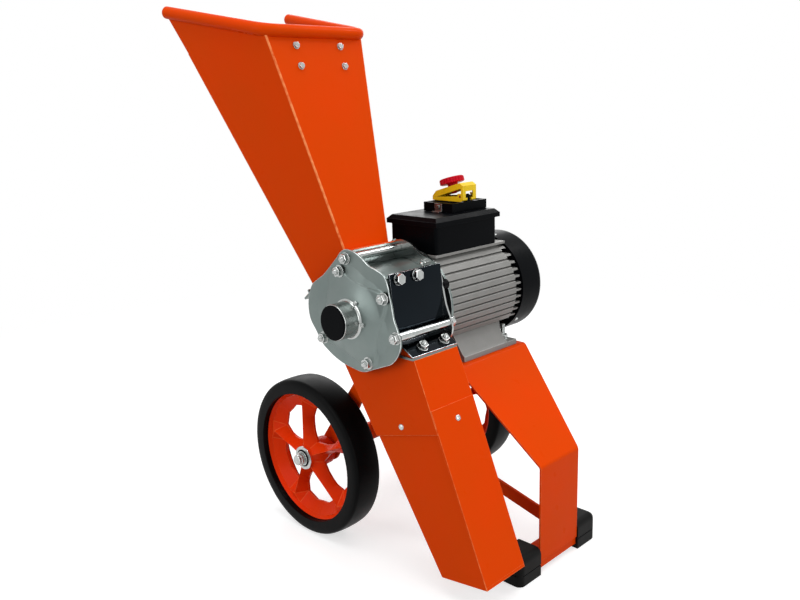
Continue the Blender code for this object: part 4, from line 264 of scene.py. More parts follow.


# Each finish's lighter edge colour is partly wear and partly a painted highlight along its folds.
FINISHES: dict[Slot, Finish] = {
    Slot.ORANGE_PAINT: Finish(
        "orange paint", (0.74, 0.054, 0.001), 0.32, specular=0.02, coat=0.015, drift=(0.95, 1.06, 1.0),
        grain=Grain.PEEL, grain_scale=420.0, grain_depth=0.00003, wear_and_highlight_colour=(1.0, 0.34, 0.12), wear_and_highlight_share=0.85),
    Slot.ORANGE_PLASTIC: Finish(
        "orange moulding", (0.86, 0.036, 0.002), 0.28, specular=0.05, drift=(0.92, 1.15, 1.2),
        grain_scale=1400.0, wear_and_highlight_colour=(0.92, 0.15, 0.04), wear_and_highlight_share=0.5),
    Slot.ZINC: Finish(
        "zinc plating", (0.175, 0.207, 0.198), 0.36, metallic=1.0, drift=(0.88, 0.9, 0.9), drift_scale=22.0,
        gloss_drift=0.08, grain=Grain.BRUSHED, grain_depth=0.00001, wear_and_highlight_colour=(0.80, 0.84, 0.84), wear_and_highlight_share=0.8),
    Slot.DARK_ZINC: Finish(
        "dark polished plate", (0.003, 0.006, 0.009), 0.10, metallic=0.9, gloss_drift=0.03,
        drift=(1.3, 1.3, 1.3), grain=Grain.PEEL, grain_scale=160.0, wear_and_highlight_colour=(0.45, 0.48, 0.50), wear_and_highlight_share=0.9),
    Slot.STEEL: Finish(
        "bright fasteners", (0.46, 0.48, 0.47), 0.19, metallic=1.0, drift=(0.85, 0.85, 0.85), drift_scale=160.0,
        gloss_drift=0.07, grain=Grain.BRUSHED, grain_scale=1500.0, grain_depth=0.00001, wear_and_highlight_colour=(0.9, 0.9, 0.9),
        wear_and_highlight_share=0.5),
    Slot.CAST: Finish(
        "cast aluminium", (0.235, 0.233, 0.224), 0.50, metallic=0.2, specular=0.2, drift=(0.90, 0.90, 0.89),
        drift_scale=30.0, grain=Grain.CAST, grain_scale=700.0, grain_depth=0.00008, wear_and_highlight_colour=(0.42, 0.415, 0.40),
        wear_and_highlight_share=0.7),
    Slot.DARK_CASTING: Finish(
        "dark casting", (0.002, 0.002, 0.0025), 0.40, specular=0.04, drift=(1.5, 1.5, 1.5), grain=Grain.CAST,
        grain_depth=0.00006),
    Slot.BLACK_PLASTIC: Finish(
        "black moulding", (0.0012, 0.0016, 0.0022), 0.34, specular=0.028, drift=(1.6, 1.5, 1.4),
        grain_scale=1600.0, grain_depth=0.00003, wear_and_highlight_colour=(0.02, 0.02, 0.022), wear_and_highlight_share=0.7),
    Slot.RUBBER: Finish(
        "black rubber", (0.0045, 0.0045, 0.0043), 0.50, specular=0.06, drift=(1.5, 1.5, 1.5),
        grain_scale=1100.0, grain_depth=0.00004, wear_and_highlight_colour=(0.02, 0.02, 0.02)),
    Slot.TYRE: Finish(
        "tyre rubber", (0.0014, 0.0015, 0.0016), 0.40, specular=0.045, drift=(1.5, 1.5, 1.5), drift_scale=20.0,
        grain_scale=800.0, grain_depth=0.00003),
    Slot.YELLOW: Finish(
        "yellow moulding", (0.88, 0.60, 0.010), 0.34, specular=0.25, drift=(0.94, 0.9, 0.8), drift_scale=60.0,
        grain_scale=1500.0, wear_and_highlight_colour=(1.0, 0.78, 0.2), wear_and_highlight_share=0.5),
    Slot.RED: Finish(
        "red moulding", (0.55, 0.003, 0.016), 0.34, specular=0.06, drift=(0.85, 0.8, 0.8), drift_scale=60.0,
        grain_scale=1500.0, wear_and_highlight_colour=(0.8, 0.06, 0.08), wear_and_highlight_share=0.4),
    Slot.GREEN: Finish(
        "green moulding", (0.02, 0.30, 0.06), 0.34, drift=(0.85, 0.85, 0.85), drift_scale=60.0,
        grain_scale=1500.0, wear_and_highlight_colour=(0.2, 0.5, 0.25), wear_and_highlight_share=0.4),
    Slot.WINDING: Finish(
        "lacquered winding", (0.42, 0.14, 0.05), 0.4, metallic=0.6, drift=(0.7, 0.6, 0.5), drift_scale=180.0,
        grain=Grain.BRUSHED, grain_scale=2200.0, grain_depth=0.0002),
}
FRAME: dict = {}
LOOKS: dict[Slot, bpy.types.Material] = {}


class Form:
    """A mesh in the making, with an `edge` value of one along its rounded edges, where the finishes lighten the colour
    as wear and painted highlight.
    """

    def __init__(self) -> None:
        """Start an empty mesh."""
        self.mesh = bmesh.new()
        self.edge = self.mesh.loops.layers.float.new("edge")

    @classmethod
    def of_node(cls, node: str) -> "Form":
        """Copy a CAD node, merged, with its flat faces whole again.

        Args:
            node: The CAD node's name.

        Returns:
            The copy.
        """
        form = cls()
        form.mesh.from_mesh(FRAME["nodes"][node].data)
        for layer in list(form.mesh.loops.layers.uv):
            form.mesh.loops.layers.uv.remove(layer)
        form.edge = form.mesh.loops.layers.float.get("edge") or form.mesh.loops.layers.float.new("edge")
        bmesh.ops.remove_doubles(form.mesh, verts=form.mesh.verts, dist=4e-6)
        bmesh.ops.dissolve_limit(form.mesh, angle_limit=radians(0.6), use_dissolve_boundaries=False,
                                 verts=form.mesh.verts, edges=form.mesh.edges, delimit=set())
        return form

    def spun(self, profile: Sequence[Pair], centre: Optional[Pair] = (AXIS_X, AXIS_Z), steps: int = 64,
             closed: bool = True) -> "Form":
        """Spin a profile of (radius, height) pairs round a line along Y, or round the form's own Z.

        Args:
            profile: The points of the profile.
            centre: X and Z of the line along Y, or None for Z.
            steps: Faces round the form.
            closed: Whether the profile's ends are joined.

        Returns:
            This form.
        """
        along = Vector((0, 0, 1)) if centre is None else Vector((0, 1, 0))
        middle = Vector((centre[0], 0, centre[1])) if centre else Vector()
        points = [self.mesh.verts.new(middle + Vector((radius, 0, 0)) + along * height) for radius, height in profile]
        pairs = list(zip(points, points[1:])) + ([(points[-1], points[0])] if closed else [])
        lines = [self.mesh.edges.new(pair) for pair in pairs]
        bmesh.ops.spin(self.mesh, geom=points + lines, cent=middle, axis=along, dvec=(0, 0, 0), angle=2 * pi,
                       steps=steps, use_merge=True)
        bmesh.ops.remove_doubles(self.mesh, verts=self.mesh.verts, dist=1e-6)
        loose = [line for line in self.mesh.edges if not line.link_faces]
        bmesh.ops.delete(self.mesh, geom=loose, context="EDGES")
        return self

    def extruded(self, outline: Sequence[Pair], low: float, high: float) -> "Form":
        """Extrude an outline in side view along Y.

        Args:
            outline: Points (X, Z) round the outline.
            low: Y of one end.
            high: Y of the other end.

        Returns:
            This form.
        """
        base = self.mesh.faces.new([self.mesh.verts.new((x, low, z)) for x, z in outline])
        swept = bmesh.ops.extrude_face_region(self.mesh, geom=[base])["geom"]
        bmesh.ops.translate(self.mesh, vec=(0, high - low, 0), verts=points_of(swept))
        return self

    def add(self, other: "Form", place: Matrix = Matrix.Identity(4)) -> "Form":
        """Add another form, moved by a matrix, and free it.

        Args:
            other: The form to add.
            place: Where it goes.

        Returns:
            This form.
        """
        bmesh.ops.transform(other.mesh, matrix=place, verts=other.mesh.verts)
        bmesh.ops.recalc_face_normals(other.mesh, faces=other.mesh.faces)
        carrier = bpy.data.meshes.new("carrier")
        other.mesh.to_mesh(carrier)
        other.mesh.free()
        self.mesh.from_mesh(carrier)
        bpy.data.meshes.remove(carrier)
        self.edge = self.mesh.loops.layers.float["edge"]
        return self

    def seat(self, part: Union["Disc", "Fastener", "PanScrew"], spot: Vector, away: Vector) -> "Form":
        """Seat a part that is made along +Z on a spot, facing the way it stands out."""
        turn = Vector((0, 0, 1)).rotation_difference(away.normalized()).to_matrix().to_4x4()
        return self.add(part.form(), Matrix.Translation(spot) @ turn)

    def bevelled(self, width: float, sharper: float = 30.0, segments: int = 2) -> "Form":
        """Round the form's sharp edges and mark them.

        Args:
            width: Width of the rounding.
            sharper: Edges that turn by more than these degrees are rounded.
            segments: Faces across the rounding.

        Returns:
            This form.
        """
        limit = radians(sharper)
        chosen = [line for line in self.mesh.edges if len(line.link_faces) == 2 and line.calc_face_angle(0.0) > limit]
        made = bmesh.ops.bevel(self.mesh, geom=chosen, offset=width, segments=segments, profile=0.5,
                               affect="EDGES", material=-1, clamp_overlap=True)
        for face in made["faces"]:
            for loop in face.loops:
                loop[self.edge] = 1.0
        return self

    def open_edges(self) -> list[bmesh.types.BMEdge]:
        """Return the edges that have one face."""
        return [line for line in self.mesh.edges if len(line.link_faces) == 1]

    def made(self, name: str, slot: Slot, replaces: Sequence[str] = (), body: str = "machine",
             smooth: float = 32.0, keep: bool = False) -> None:
        """Turn the form into a piece of the machine.

        Args:
            name: The piece's name.
            slot: Its material slot.
            replaces: The CAD nodes that it stands for.
            body: The CAD body that carries it.
            smooth: Edges sharper than these degrees stay sharp in the shading.
            keep: Whether the faces already point the right way.
        """
        if not keep:
            bmesh.ops.recalc_face_normals(self.mesh, faces=self.mesh.faces)
        data = bpy.data.meshes.new(name)
        self.mesh.to_mesh(data)
        self.mesh.free()
        data.shade_smooth()
        data.set_sharp_from_angle(angle=radians(smooth))
        data.materials.append(LOOKS[slot])
        thing = bpy.data.objects.new(name, data)
        bpy.context.scene.collection.objects.link(thing)
        thing.modifiers.new("shading", "WEIGHTED_NORMAL").keep_sharp = True
        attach(thing, body)
        if replaces:
            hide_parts(*replaces)
        log.info("%s: %d faces, on %s", name, len(data.polygons), body)


def points_of(geometry: Sequence[object]) -> list[bmesh.types.BMVert]:
    """Return the points among the results of an operator."""
    return [item for item in geometry if isinstance(item, bmesh.types.BMVert)]


def round_axis(radius: float, angle: float, y: float) -> Vector:
    """Return the point at a radius and an angle round the housing's axis."""
    return Vector((AXIS_X + radius * cos(angle), y, AXIS_Z + radius * sin(angle)))


def softened(node: str, ending: str, slot: Slot, width: float, sharper: float = 30.0,
             body: str = "machine", hang: float = 0.0) -> None:
    """Stand a copy of a CAD node, with rounded edges, in its place.

    Args:
        node: The CAD node's name.
        ending: What its piece's name adds.
        slot: The piece's material slot.
        width: Width of the rounding.
        sharper: Edges that turn by more than these degrees are rounded.
        body: The CAD body that carries it.
        hang: How much lower its lowest edge hangs.
    """
    form = Form.of_node(node)
    lowest = min(vertex.co.z for vertex in form.mesh.verts)
    for vertex in form.mesh.verts:
        if hang and vertex.co.z < lowest + 1e-5:
            vertex.co.z -= hang
    form.bevelled(width, sharper).made(node + ending, slot, (node,), body, keep=True)


LOBES: tuple[Pair, ...] = (
    (99, 0.0950), (87, 0.0940), (78, 0.0900), (66, 0.0850), (56, 0.0885), (46, 0.0925),
    (38, 0.0895), (28, 0.0836), (8, 0.0808), (-3, 0.0870), (-13, 0.0945), (-23, 0.0950),
    (-35, 0.0910), (-46, 0.0830), (-60, 0.0778), (-78, 0.0775), (-95, 0.0745), (-116, 0.0765),
    (-132, 0.0805), (-146, 0.0860), (-158, 0.0885), (-170, 0.0955), (-182, 0.0970),
    (-194, 0.0955), (-203, 0.0925), (-211, 0.0860), (-221, 0.0800), (-236, 0.0800), (-249, 0.0855),
)


def lobed_radius(angle: float, outline: Sequence[Pair] = LOBES) -> float:
    """Return how far a lobed outline, such as the cover's, reaches at an angle.

    Args:
        angle: Angle round the housing's axis, in radians.
        outline: Degrees and radius of its points, the degrees falling.

    Returns:
        The radius.
    """
    turn = (outline[0][0] - degrees(angle)) % 360.0
    stops = [outline[0][0] - stop for stop, _ in outline] + [360.0]
    reach = [radius for _, radius in outline]
    count = len(outline)
    index = max(step for step in range(count) if stops[step] <= turn)
    share = (turn - stops[index]) / (stops[index + 1] - stops[index])
    before, here, after, beyond = (reach[(index + step) % count] for step in (-1, 0, 1, 2))
    return (2 * here + (after - before) * share + (2 * before - 5 * here + 4 * after - beyond) * share ** 2
            + (3 * here - before - 3 * after + beyond) * share ** 3) / 2


def smoothstep(value: float) -> float:
    """Ease a value between 0 and 1."""
    value = min(max(value, 0.0), 1.0)
    return value * value * (3.0 - 2.0 * value)


@dataclass(frozen=True)
class Disc:
    """A disc, or a ring, with a softened edge."""

    radius: float
    height: float
    hole: float = 0.0
    soft: float = 0.0004

    def form(self) -> Form:
        """Build the disc along +Z, seated at zero.

        Returns:
            The form.
        """
        profile = [(self.hole, 0.0), (self.radius, 0.0), (self.radius, self.height - self.soft),
                   (self.radius - self.soft, self.height), (self.hole, self.height)]
        return Form().spun(profile, None, 48, closed=self.hole > 0.0)


@dataclass(frozen=True)
class Fastener:
    """A hexagon nut or head with its washer and, if it has one, the stud through it."""

    width: float = 0.013
    height: float = 0.0062
    washer_radius: float = 0.0
    washer: float = 0.0012
    stud_radius: float = 0.0
    stud_reach: float = 0.0
    turn: float = 0.0

    def form(self) -> Form:
        """Build the fastener along +Z, seated at zero.

        Returns:
            The form.
        """
        whole = Form()
        seat = self.washer if self.washer_radius else 0.0
        if self.washer_radius:
            whole.add(self._washer())
        whole.add(self._hexagon(seat))
        if self.stud_reach:
            whole.add(self._stud(seat + self.height))
        return whole

    def _washer(self) -> Form:
        """Build the washer.

        Returns:
            The form.
        """
        ring = Form()
        bmesh.ops.create_cone(ring.mesh, cap_ends=True, segments=32, radius1=self.washer_radius,
                              radius2=self.washer_radius, depth=self.washer,
                              matrix=Matrix.Translation((0, 0, self.washer / 2)))
        return ring.bevelled(self.washer * 0.25, 50)

    def _hexagon(self, seat: float) -> Form:
        """Build the hexagon with its softened edges.

        Args:
            seat: Height at which it sits.

        Returns:
            The form.
        """
        body = Form()
        place = Matrix.Translation((0, 0, seat)) @ Matrix.Rotation(self.turn, 4, "Z")
        bmesh.ops.create_circle(body.mesh, cap_ends=True, segments=6, radius=self.width / sqrt(3), matrix=place)
        swept = bmesh.ops.extrude_face_region(body.mesh, geom=list(body.mesh.faces))["geom"]
        bmesh.ops.translate(body.mesh, vec=(0, 0, self.height), verts=points_of(swept))
        return body.bevelled(self.width * 0.055)

    def _stud(self, seat: float) -> Form:
        """Build the stud's threaded end.

        Args:
            seat: Height at which it leaves the nut.

        Returns:
            The form.
        """
        radius, pitch = self.stud_radius, self.stud_radius * 0.3
        turns = max(int(self.stud_reach / pitch), 2)
        profile: list[Pair] = [(radius * 0.9, seat - 0.0005)]
        for step in range(turns):
            low = seat + self.stud_reach * step / turns
            profile += [(radius, low + pitch * 0.35), (radius * 0.88, low + pitch * 0.85)]
        top = seat + self.stud_reach
        profile += [(radius * 0.62, top + radius * 0.12), (0.0, top + radius * 0.14)]
        end = Form().spun(profile, None, 20, closed=False)
        bmesh.ops.contextual_create(end.mesh, geom=end.open_edges())
        return end


@dataclass(frozen=True)
class PanScrew:
    """A small pan-headed screw with a recess."""

    radius: float
    height: float
    steps: int = 5

    def form(self) -> Form:
        """Build the head along +Z, seated at zero.

        Returns:
            The form.
        """
        turns = [pi / 2 * step / self.steps for step in range(self.steps + 1)]
        profile = [(self.radius * cos(turn * 0.82), self.height * sin(turn)) for turn in turns]
        head = Form().spun(profile, None, 24, closed=False)
        rims = head.open_edges()
        foot = [line for line in rims if line.verts[0].co.z < 1e-6]
        for rim in (foot, [line for line in rims if line not in foot]):
            bmesh.ops.contextual_create(head.mesh, geom=rim)
        crown = max(head.mesh.faces, key=lambda face: face.calc_center_median().z)
        centre = bmesh.ops.poke(head.mesh, faces=[crown])["verts"]
        bmesh.ops.translate(head.mesh, vec=(0, 0, -self.height * 0.55), verts=centre)
        return head


@dataclass
class FrontCover:
    """Pressed zinc cover: a lobed plate whose four-pointed star swells towards the bearing tube."""

    face_y: float = -0.200
    sheet: float = 0.003
    star_angle: float = radians(29.3)
    star: tuple[Pair, ...] = ((45, 0.0563), (35, 0.0572), (24, 0.0610), (16, 0.0668), (10.5, 0.0722), (5, 0.0760),
                              (0, 0.0768))
    star_height: float = 0.0032
    flank: float = 0.0032
    dome_radius: float = 0.058
    dome_inner: float = 0.0295
    dome_height: float = 0.0066
    bore: float = 0.0225
    bolts: tuple[Pair, ...] = ((108.1, 0.067), (29.5, 0.0747), (-62.5, 0.0666), (-147.4, 0.0718))
    bolt_seat: float = -0.20256
    rings: int = 64
    steps: int = 216

    def build(self) -> None:
        """Build the cover and its four nuts."""
        self._pressing().made("front_cover_pressing", Slot.ZINC, ("front_cover",), smooth=60)
        nuts = Form()
        for turn, radius in self.bolts:
            angle = radians(turn)
            nut = Fastener(washer_radius=0.0088, stud_radius=0.004, stud_reach=0.0035, turn=angle)
            nuts.seat(nut, round_axis(radius, angle, self.bolt_seat), NEAR)
        nuts.made("front_cover_nuts", Slot.STEEL, smooth=28)

    @property
    def star_outline(self) -> tuple[Pair, ...]:
        """Outline of the star, from the middle between two arms round to it again."""
        arm = list(self.star) + [(-turn, reach) for turn, reach in reversed(self.star[1:-1])]
        return tuple((turn - 90 * index, reach) for index in range(4) for turn, reach in arm)

    def _height(self, radius: float, angle: float) -> float:
        """Return how far the pressing stands out at a place.

        Args:
            radius: Distance from the axis.
            angle: Angle round it.

        Returns:
            The height over the plate's face.
        """
        edge = lobed_radius(angle - self.star_angle, self.star_outline)
        star = self.star_height * smoothstep((edge - radius) / self.flank)
        share = min(max((self.dome_radius - radius) / (self.dome_radius - self.dome_inner), 0.0), 1.0)
        return star + self.dome_height * (0.4 * smoothstep(share) + 0.6 * share)

    def _pressing(self) -> Form:
        """Spin a disc of rings, lay it over the pressing and give it its sheet.

        Returns:
            The form.
        """
        shares = [step / (self.rings - 1) for step in range(self.rings)]
        form = Form().spun([(self.bore + share, 0.0) for share in shares], steps=self.steps, closed=False)
        for vertex in form.mesh.verts:
            away = Vector((vertex.co.x - AXIS_X, vertex.co.z - AXIS_Z))
            angle = atan2(away.y, away.x)
            radius = self.bore + (lobed_radius(angle) - self.bore) * (away.length - self.bore)
            vertex.co = round_axis(radius, angle, self.face_y - self._height(radius, angle))
        for face in form.mesh.faces:
            if face.normal.y > 0:
                face.normal_flip()
        form.mesh.normal_update()
        back = bmesh.ops.extrude_edge_only(form.mesh, edges=form.open_edges())["geom"]
        for vertex in points_of(back):
            radius = Vector((vertex.co.x - AXIS_X, vertex.co.z - AXIS_Z)).length
            vertex.co.y = (self.face_y if radius > self.dome_inner else vertex.co.y) + self.sheet
        back_edges = [item for item in back if isinstance(item, bmesh.types.BMEdge) and len(item.link_faces) == 1]
        bmesh.ops.bridge_loops(form.mesh, edges=back_edges)
        return form.bevelled(0.0006, 60)


@dataclass
class BearingTube:
    """Tube of the front bearing, flared into the cover, with its small bolts and its flat black plug."""

    seat_y: float = -0.2062
    end_y: float = -0.236
    radius: float = 0.0255
    bore: float = 0.0203
    soft: float = 0.0008
    foot_radius: float = 0.0300
    foot: float = 0.0028
    foot_step: float = 0.0006
    blend: float = 0.0035
    blend_steps: int = 8
    bolt_ring: float = 0.0312
    bolt_seat: float = -0.2092
    bolt_angles: tuple[float, ...] = (54, -6, 174, 234)
    plug_depth: float = 0.006
    plug_radius: float = 0.0245
    plug_rise: float = 0.0022

    def build(self) -> None:
        """Build the tube, its bolts and the plug."""
        profile: list[Pair] = [(self.bore, self.seat_y), (self.foot_radius - 0.003, self.seat_y),
                               (self.foot_radius, self.seat_y - self.foot)]
        for step in range(1, self.blend_steps + 1):
            angle = pi / 2 * step / self.blend_steps
            profile.append((self.radius + (self.foot_radius - self.radius) * (1 - sin(angle)),
                            self.seat_y - self.foot - self.foot_step - self.blend * (1 - cos(angle))))
        profile += [(self.radius, self.end_y + self.soft), (self.radius - self.soft, self.end_y),
                    (self.bore, self.end_y)]
        Form().spun(profile, steps=96).made("bearing_sleeve", Slot.STEEL, ("bearing_tube",), smooth=50)
        bolts = Form()
        for angle in map(radians, self.bolt_angles):
            bolts.seat(Fastener(0.0066, 0.0030, stud_radius=0.0018, stud_reach=0.0012, turn=angle),
                       round_axis(self.bolt_ring, angle, self.bolt_seat), NEAR)
        bolts.made("bearing_bolts", Slot.STEEL, smooth=28)
        face, inner, back = self.end_y - self.plug_rise, self.bore - GAP, self.end_y + self.plug_depth
        plug = [(0.0, back), (inner, back), (inner, self.end_y - GAP), (self.plug_radius, self.end_y - GAP),
                (self.plug_radius, face + self.soft), (self.plug_radius - self.soft, face), (0.0, face)]
        Form().spun(plug, steps=72).made("tube_plug", Slot.BLACK_PLASTIC, ("end_plug",))


@dataclass
class TieStuds:
    """The two studs that hold the cover, each with a sleeve, washers and nuts."""

    front_y: float = -0.2003
    rear_y: float = -0.0937
    sleeve_front: float = -0.1967
    sleeve_rear: float = -0.0973
    radius: float = 0.004
    sleeve: float = 0.0055
    collar_length: float = 0.026
    studs: tuple[tuple[str, Pair, float], ...] = (
        ("upper_tie_stud", (0.132, 0.4635), 0.0055), ("lower_tie_stud", (0.2255, 0.3665), 0.0066))

    def build(self) -> None:
        """Build both studs: a sleeve with its collar, and the nuts and washers."""
        for node, (x, z), collar in self.studs:
            end = self.sleeve_front + self.collar_length
            profile = [(0.0, self.sleeve_front), (collar, self.sleeve_front), (collar, end),
                       (self.sleeve, end + 0.0005), (self.sleeve, self.sleeve_rear), (0.0, self.sleeve_rear)]
            Form().spun(profile, (x, z), 32).made(node + "_sleeve", Slot.STEEL, (node,), smooth=28)
            front = Fastener(washer_radius=0.0086, stud_radius=self.radius, stud_reach=0.0036, turn=0.4)
            rear = Fastener(stud_radius=self.radius, stud_reach=0.001, turn=0.4)
            form = Form().seat(front, Vector((x, self.front_y, z)), NEAR)
            form.seat(rear, Vector((x, self.rear_y, z)), -NEAR)
            form.made(node + "_nuts", Slot.STEEL, smooth=28)


@dataclass
class CutterHousing:
    """Drum, flanges and plates of the cutter housing, softened along their edges, and their bright bolts."""

    sheets: tuple[tuple[str, Slot, float], ...] = (
        ("cutter_housing", Slot.ZINC, 0.0005), ("rear_plate", Slot.STEEL, 0.0009),
        ("side_plate", Slot.DARK_ZINC, 0.0005), ("counter_knife", Slot.STEEL, 0.0003))
    nut: float = 0.0133
    nut_height: float = 0.0064
    side_face: float = 0.216
    side_lean: float = 0.0035
    bend_z: float = 0.423
    top_z: float = 0.450
    side_bolt_z: float = 0.4415
    side_bolt_sink: float = 0.0006
    side_bolts_y: Pair = (-0.181, -0.146)
    outlet_top: float = 0.3383
    outlet_front: float = 0.242
    outlet_bolt_x: float = 0.2325
    outlet_bolts_y: Pair = (-0.1584, -0.1149)
    apron_rise: float = 0.0150
    apron: float = 0.0025
    apron_foot: float = 0.0004
    near_y: float = -0.1873
    far_y: float = -0.0977
    wedge_inset: float = 0.0028
    rear_face: float = -0.097
    rear_bolt: Pair = (0.0765, radians(57))

    def build(self) -> None:
        """Copy the housing's sheets with rounded edges, and add the bolts and the outlet's apron."""
        for node, slot, width in self.sheets:
            softened(node, "_finished", slot, width)
        self._apron()
        self._bolts()

    def _apron(self) -> None:
        """Build the sloping plate over the outlet and the painted wedge that it lies on."""
        inner, outer = self.side_face + GAP, self.outlet_front
        low, high = self.outlet_top + 0.0001, self.outlet_top + self.apron_rise
        foot = low + self.apron_foot
        wedge = [(inner, low), (outer, low), (outer, foot), (inner, high)]
        Form().extruded(wedge, self.near_y + self.wedge_inset, self.far_y).made("outlet_wedge", Slot.ORANGE_PAINT)
        plate = [(inner, high), (outer, foot), (outer + self.apron_foot, low + self.apron * 0.6),
                 (inner, high + self.apron)]
        Form().extruded(plate, self.near_y, self.far_y).bevelled(0.0005).made("outlet_apron", Slot.DARK_ZINC)

    def _bolts(self) -> None:
        """Build the bright bolt heads of the side plate, the outlet and the rear plate."""
        bolts = Form()
        rise = self.top_z - self.bend_z
        lean = atan2(self.side_lean, rise)
        face = self.side_face - self.side_lean * (self.side_bolt_z - self.bend_z) / rise - self.side_bolt_sink
        for y in self.side_bolts_y:
            bolts.seat(Fastener(self.nut, self.nut_height + 0.0002, 0.0082, 0.001, turn=0.3),
                       Vector((face, y, self.side_bolt_z)), Vector((cos(lean), 0, sin(lean))))
        run = self.outlet_front - self.side_face
        slope = atan2(self.apron_rise, run)
        height = self.outlet_top + self.apron_rise * (self.outlet_front - self.outlet_bolt_x) / run
        for y in self.outlet_bolts_y:
            bolts.seat(Fastener(0.0125, 0.0062, 0.0080, 0.0012, 0.0038, 0.0030, turn=0.2),
                       Vector((self.outlet_bolt_x, y, height + self.apron * 0.9)), Vector((sin(slope), 0, cos(slope))))
        bolts.seat(Fastener(self.nut, self.nut_height, stud_radius=0.0038, stud_reach=0.002),
                   round_axis(*self.rear_bolt, self.rear_face), NEAR)
        bolts.made("housing_bolts", Slot.STEEL, smooth=28)


@dataclass
class Wheel:
    """Moulded five-spoke wheel with its tyre; heights run out from the wheel's middle."""

    side: int
    centre_y: float = 0.168
    rim_outer: float = 0.1047
    rim_half: float = 0.0213
    flange_face: float = 0.0152
    dish_radius: float = 0.0995
    dish_face: float = 0.0100
    dish_turns: Triple = (9.0, 25.5, 36.0)
    web_face: float = -0.0020
    shell: float = 0.0045
    draft: float = 0.0009
    spoke_count: int = 5
    spoke_angle: float = radians(97)
    ridge: tuple[Pair, ...] = ((0.018, 0.0205), (0.030, 0.0200), (0.040, 0.0187), (0.052, 0.0172), (0.062, 0.0160),
                               (0.0745, 0.0144), (0.0915, 0.0125), (0.0995, 0.0112))
    foot: tuple[Triple, ...] = (
        (0.018, 36.0, 0.0180), (0.0275, 36.0, 0.0045), (0.0395, 11.5, 0.0015), (0.0525, 6.8, 0.0),
        (0.0630, 6.4, -0.0008), (0.0775, 10.8, -0.0020), (0.0830, 26.0, -0.0020), (0.0812, 36.0, -0.0020))
    hub: tuple[Pair, ...] = ((0.0083, 0.023), (0.0158, 0.023), (0.0170, 0.022), (0.0182, 0.0186), (0.0215, 0.0060),
                             (0.0235, -0.0060), (0.0225, -0.022), (0.0215, -0.023), (0.0083, -0.023))
    tyre_half: float = 0.025
    tyre_bore: float = 0.105
    shoulder: float = 0.0055
    crown: float = 0.0012

    def build(self) -> None:
        """Build the wheel centre and the tyre."""
        prefix = "near" if self.side > 0 else "far"
        body = prefix + "_wheel"
        centre = Form().add(self._barrel()).add(self._star()).add(Form().spun(self.hub, (0.0, 0.0), 72))
        self._placed(centre).made(body + "_moulding", Slot.ORANGE_PLASTIC, (body + "_centre",), body, smooth=30)
        self._placed(self._tyre()).made(prefix + "_tyre_moulding", Slot.TYRE, (prefix + "_tyre",), body, smooth=50)

    def _placed(self, form: Form) -> Form:
        """Put a form made round the near wheel's own centre on this wheel.

        Args:
            form: A form whose Y is the distance out from the wheel's middle.

        Returns:
            The form in place.
        """
        centre = Matrix.Translation((0, -self.side * self.centre_y, WHEEL_RADIUS))
        place = centre @ Matrix.Diagonal((1, -self.side, 1, 1))
        bmesh.ops.transform(form.mesh, matrix=place, verts=form.mesh.verts)
        return form

    def _barrel(self) -> Form:
        """Build the rim's barrel, with its conical flange in front and its rolled edge behind.

        Returns:
            The barrel.
        """
        outer, half, face, dish = self.rim_outer, self.rim_half, self.flange_face, self.dish_radius
        profile = [(outer, face - 0.0010), (outer - 0.0010, face), (outer - 0.0020, face - 0.0006),
                   (dish + 0.0003, self.dish_face + 0.0004), (dish - 0.0006, self.dish_face - 0.0006),
                   (dish - 0.0006, -half + 0.0012), (outer - 0.0016, -half - 0.0006), (outer, -half)]
        return Form().spun(profile, (0.0, 0.0), 144)

    def _sector(self) -> Form:
        """Build one ridged spoke with the web on both sides of it.

        Returns:
            The sector.
        """
        form = Form()
        turned = self.foot + tuple((self.dish_radius, turn, self.dish_face) for turn in self.dish_turns)
        ridge = [form.mesh.verts.new((radius, face, 0.0)) for radius, face in self.ridge]
        foot = [form.mesh.verts.new((radius * cos(radians(turn)), face, radius * sin(radians(turn))))
                for radius, turn, face in turned]
        corners = [(ridge[index], ridge[index + 1], foot[index + 1], foot[index]) for index in range(5)]
        corners += [(ridge[5], ridge[6], foot[5]), (ridge[6], foot[8], foot[5]), (ridge[6], ridge[7], foot[8]),
                    (foot[5], foot[8], foot[9], foot[6]), (foot[6], foot[9], foot[10], foot[7])]
        for face in corners:
            form.mesh.faces.new(face)
        twin = bmesh.ops.duplicate(form.mesh, geom=list(form.mesh.verts) + list(form.mesh.faces))["geom"]
        bmesh.ops.scale(form.mesh, vec=(1, 1, -1), verts=points_of(twin))
        return form

    def _star(self) -> Form:
        """Build the five ridged spokes and the dished web round the windows.

        Returns:
            The star.
        """
        form = Form()
        for index in range(self.spoke_count):
            turn = self.spoke_angle + 2 * pi * index / self.spoke_count
            form.add(self._sector(), Matrix.Rotation(-turn, 4, "Y"))
        bmesh.ops.remove_doubles(form.mesh, verts=form.mesh.verts, dist=2e-5)
        bmesh.ops.recalc_face_normals(form.mesh, faces=form.mesh.faces)
        if sum(face.normal.y * face.calc_area() for face in form.mesh.faces) < 0:
            bmesh.ops.reverse_faces(form.mesh, faces=form.mesh.faces)
        back = bmesh.ops.extrude_face_region(form.mesh, geom=list(form.mesh.faces), use_keep_orig=True)["geom"]
        for vertex in points_of(back):
            radius = Vector((vertex.co.x, vertex.co.z)).length
            vertex.co.y = max(vertex.co.y, self.web_face) - self.shell
            if 0.022 < radius < self.dish_radius - 0.001:
                inset = 1.0 + (self.draft if radius > 0.07 else -self.draft) / radius
                vertex.co.x *= inset
                vertex.co.z *= inset
        bmesh.ops.recalc_face_normals(form.mesh, faces=form.mesh.faces)
        return form.bevelled(0.0008, 24)

